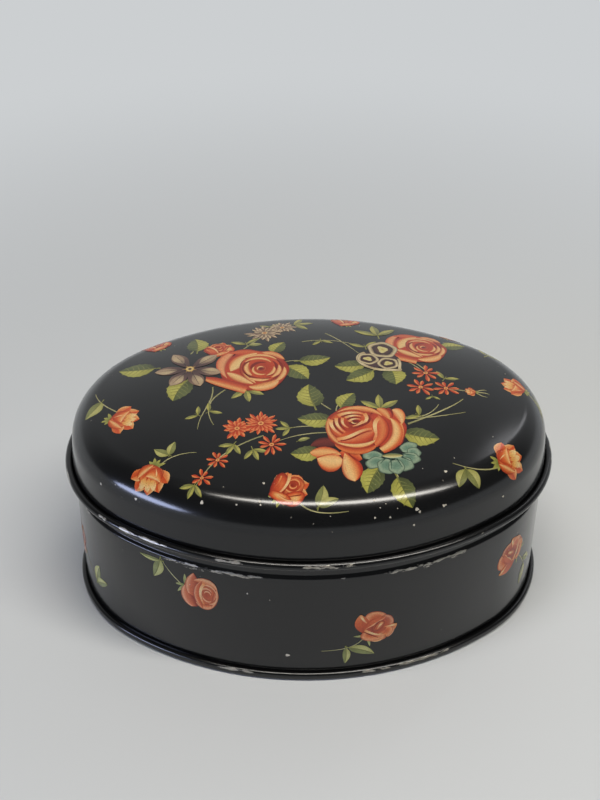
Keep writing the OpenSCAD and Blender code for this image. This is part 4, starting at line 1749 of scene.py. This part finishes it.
@dataclass
class Studio:
    """Pale floor, soft light and the camera."""

    camera_place: tuple[float, float, float] = (-13.4, -416.2, 387.3)
    camera_tilt: float = 53.9
    camera_turn: float = -1.35
    lens: float = 58.5
    sensor: float = 36.0
    floor_half: float = 2500.0
    sky: str = "#dfe2e4"
    lamps: tuple[Lamp, ...] = (
        Lamp("overhead_strip", (200, -205, 900), (225, -60, 60), (1060, 120), 7.3, "#fffaf2"),
        Lamp("left_window", (-1350, -800, 270), (-60, -30, 60), (850, 300), 11.0, "#c6d2fa"),
        Lamp("right_strip", (810, 860, 1050), (75, -25, 85), (120, 800), 0.75, "#f4f4f8"))

    def build(self) -> None:
        """Make the floor, the world, the lamps and the camera."""
        corner = self.floor_half * np.array([[-1, -1, 0], [1, -1, 0], [1, 1, 0], [-1, 1, 0]], float)
        floor = make_mesh("floor", corner, [[0, 1, 2, 3]], [PaintedTable().make()])
        self.light_world()
        for lamp in self.lamps:
            lamp.hang()
        self.aim_camera()

    def light_world(self) -> None:
        """Pale room light, brighter towards the back, with the backdrop along the horizon."""
        world = bpy.data.worlds.new("studio")
        world.use_nodes = True
        world.node_tree.nodes.clear()
        add = partial(add_node, world.node_tree)
        aim = add("SeparateXYZ", inputs={0: add("TexCoord").outputs["Generated"]})
        level = add("MapRange", {"interpolation_type": "SMOOTHSTEP"}, {
            "Value": aim.outputs["Y"], "From Min": 0.0, "From Max": 0.85, "To Min": 0.14, "To Max": 0.68})
        sky = add("Background", inputs={"Color": linear(self.sky), "Strength": level})
        low = add("MapRange", {"interpolation_type": "SMOOTHSTEP"}, {
            "Value": aim.outputs["Z"], "From Min": 0.02, "From Max": 0.16, "To Min": 1.0, "To Max": 0.0})
        gloss = add("Math", {"operation": "MULTIPLY"}, {0: low, 1: backdrop_rays(add)})
        share = add("Math", {"operation": "MAXIMUM"}, {
            0: gloss, 1: add("LightPath").outputs["Is Camera Ray"]})
        even = add("Background", inputs={"Color": linear(PaintedTable.backdrop)})
        room = add("MixShader", inputs={0: share, 1: sky, 2: even})
        add("OutputWorld", inputs={"Surface": room})
        bpy.context.scene.world = world

    def aim_camera(self) -> None:
        """Make the camera at the photograph's viewing angle."""
        data = bpy.data.cameras.new("camera")
        data.sensor_fit, data.sensor_width, data.sensor_height = "AUTO", self.sensor, self.sensor
        data.lens = self.lens
        data.clip_start, data.clip_end = 0.01, 20.0
        camera = bpy.data.objects.new("camera", data)
        bpy.context.scene.collection.objects.link(camera)
        camera.location = np.array(self.camera_place) * MM
        camera.rotation_euler = np.radians([self.camera_tilt, 0.0, self.camera_turn])
        bpy.context.scene.camera = camera


def main() -> None:
    """Build every piece in order and report it."""
    logging.basicConfig(level=logging.INFO, format="%(name)s %(message)s")
    bpy.context.scene.view_settings.view_transform = "Standard"
    Studio().build()
    sheet_finishes = [BlackLacquer().make(), BareTinplate().make()]
    lid, wall, base = Lid(), Wall(), Base()
    wall.fit(lid)
    pieces = [part.build(sheet_finishes) for part in (lid, wall, base)]
    ink, bare = PrintedInk().make(), FlakedTin().make()
    flake_lift = 0.12
    pieces += [
        Print("lid_print", "lid_lacquer", Body.LID, lid_layout(), lid.flat_to_lid, "#ddd5c7").build(ink),
        Print("wall_print", "wall_lacquer", Body.BOX, wall_layout(), wall.flat_to_wall, "#f6f2ea").build(ink),
        Print("lid_flakes", "lid_lacquer", Body.LID, lid_flakes(lid.oval), lid.flat_to_lid,
              first_lift=flake_lift).build(bare),
        Print("wall_flakes", "wall_lacquer", Body.BOX, wall_flakes(), wall.flat_to_wall,
              first_lift=flake_lift).build(bare)]
    for piece in pieces:
        LOG.info("%s: %d faces", piece.name, len(piece.data.polygons))


if __name__ == "__main__":
    main()
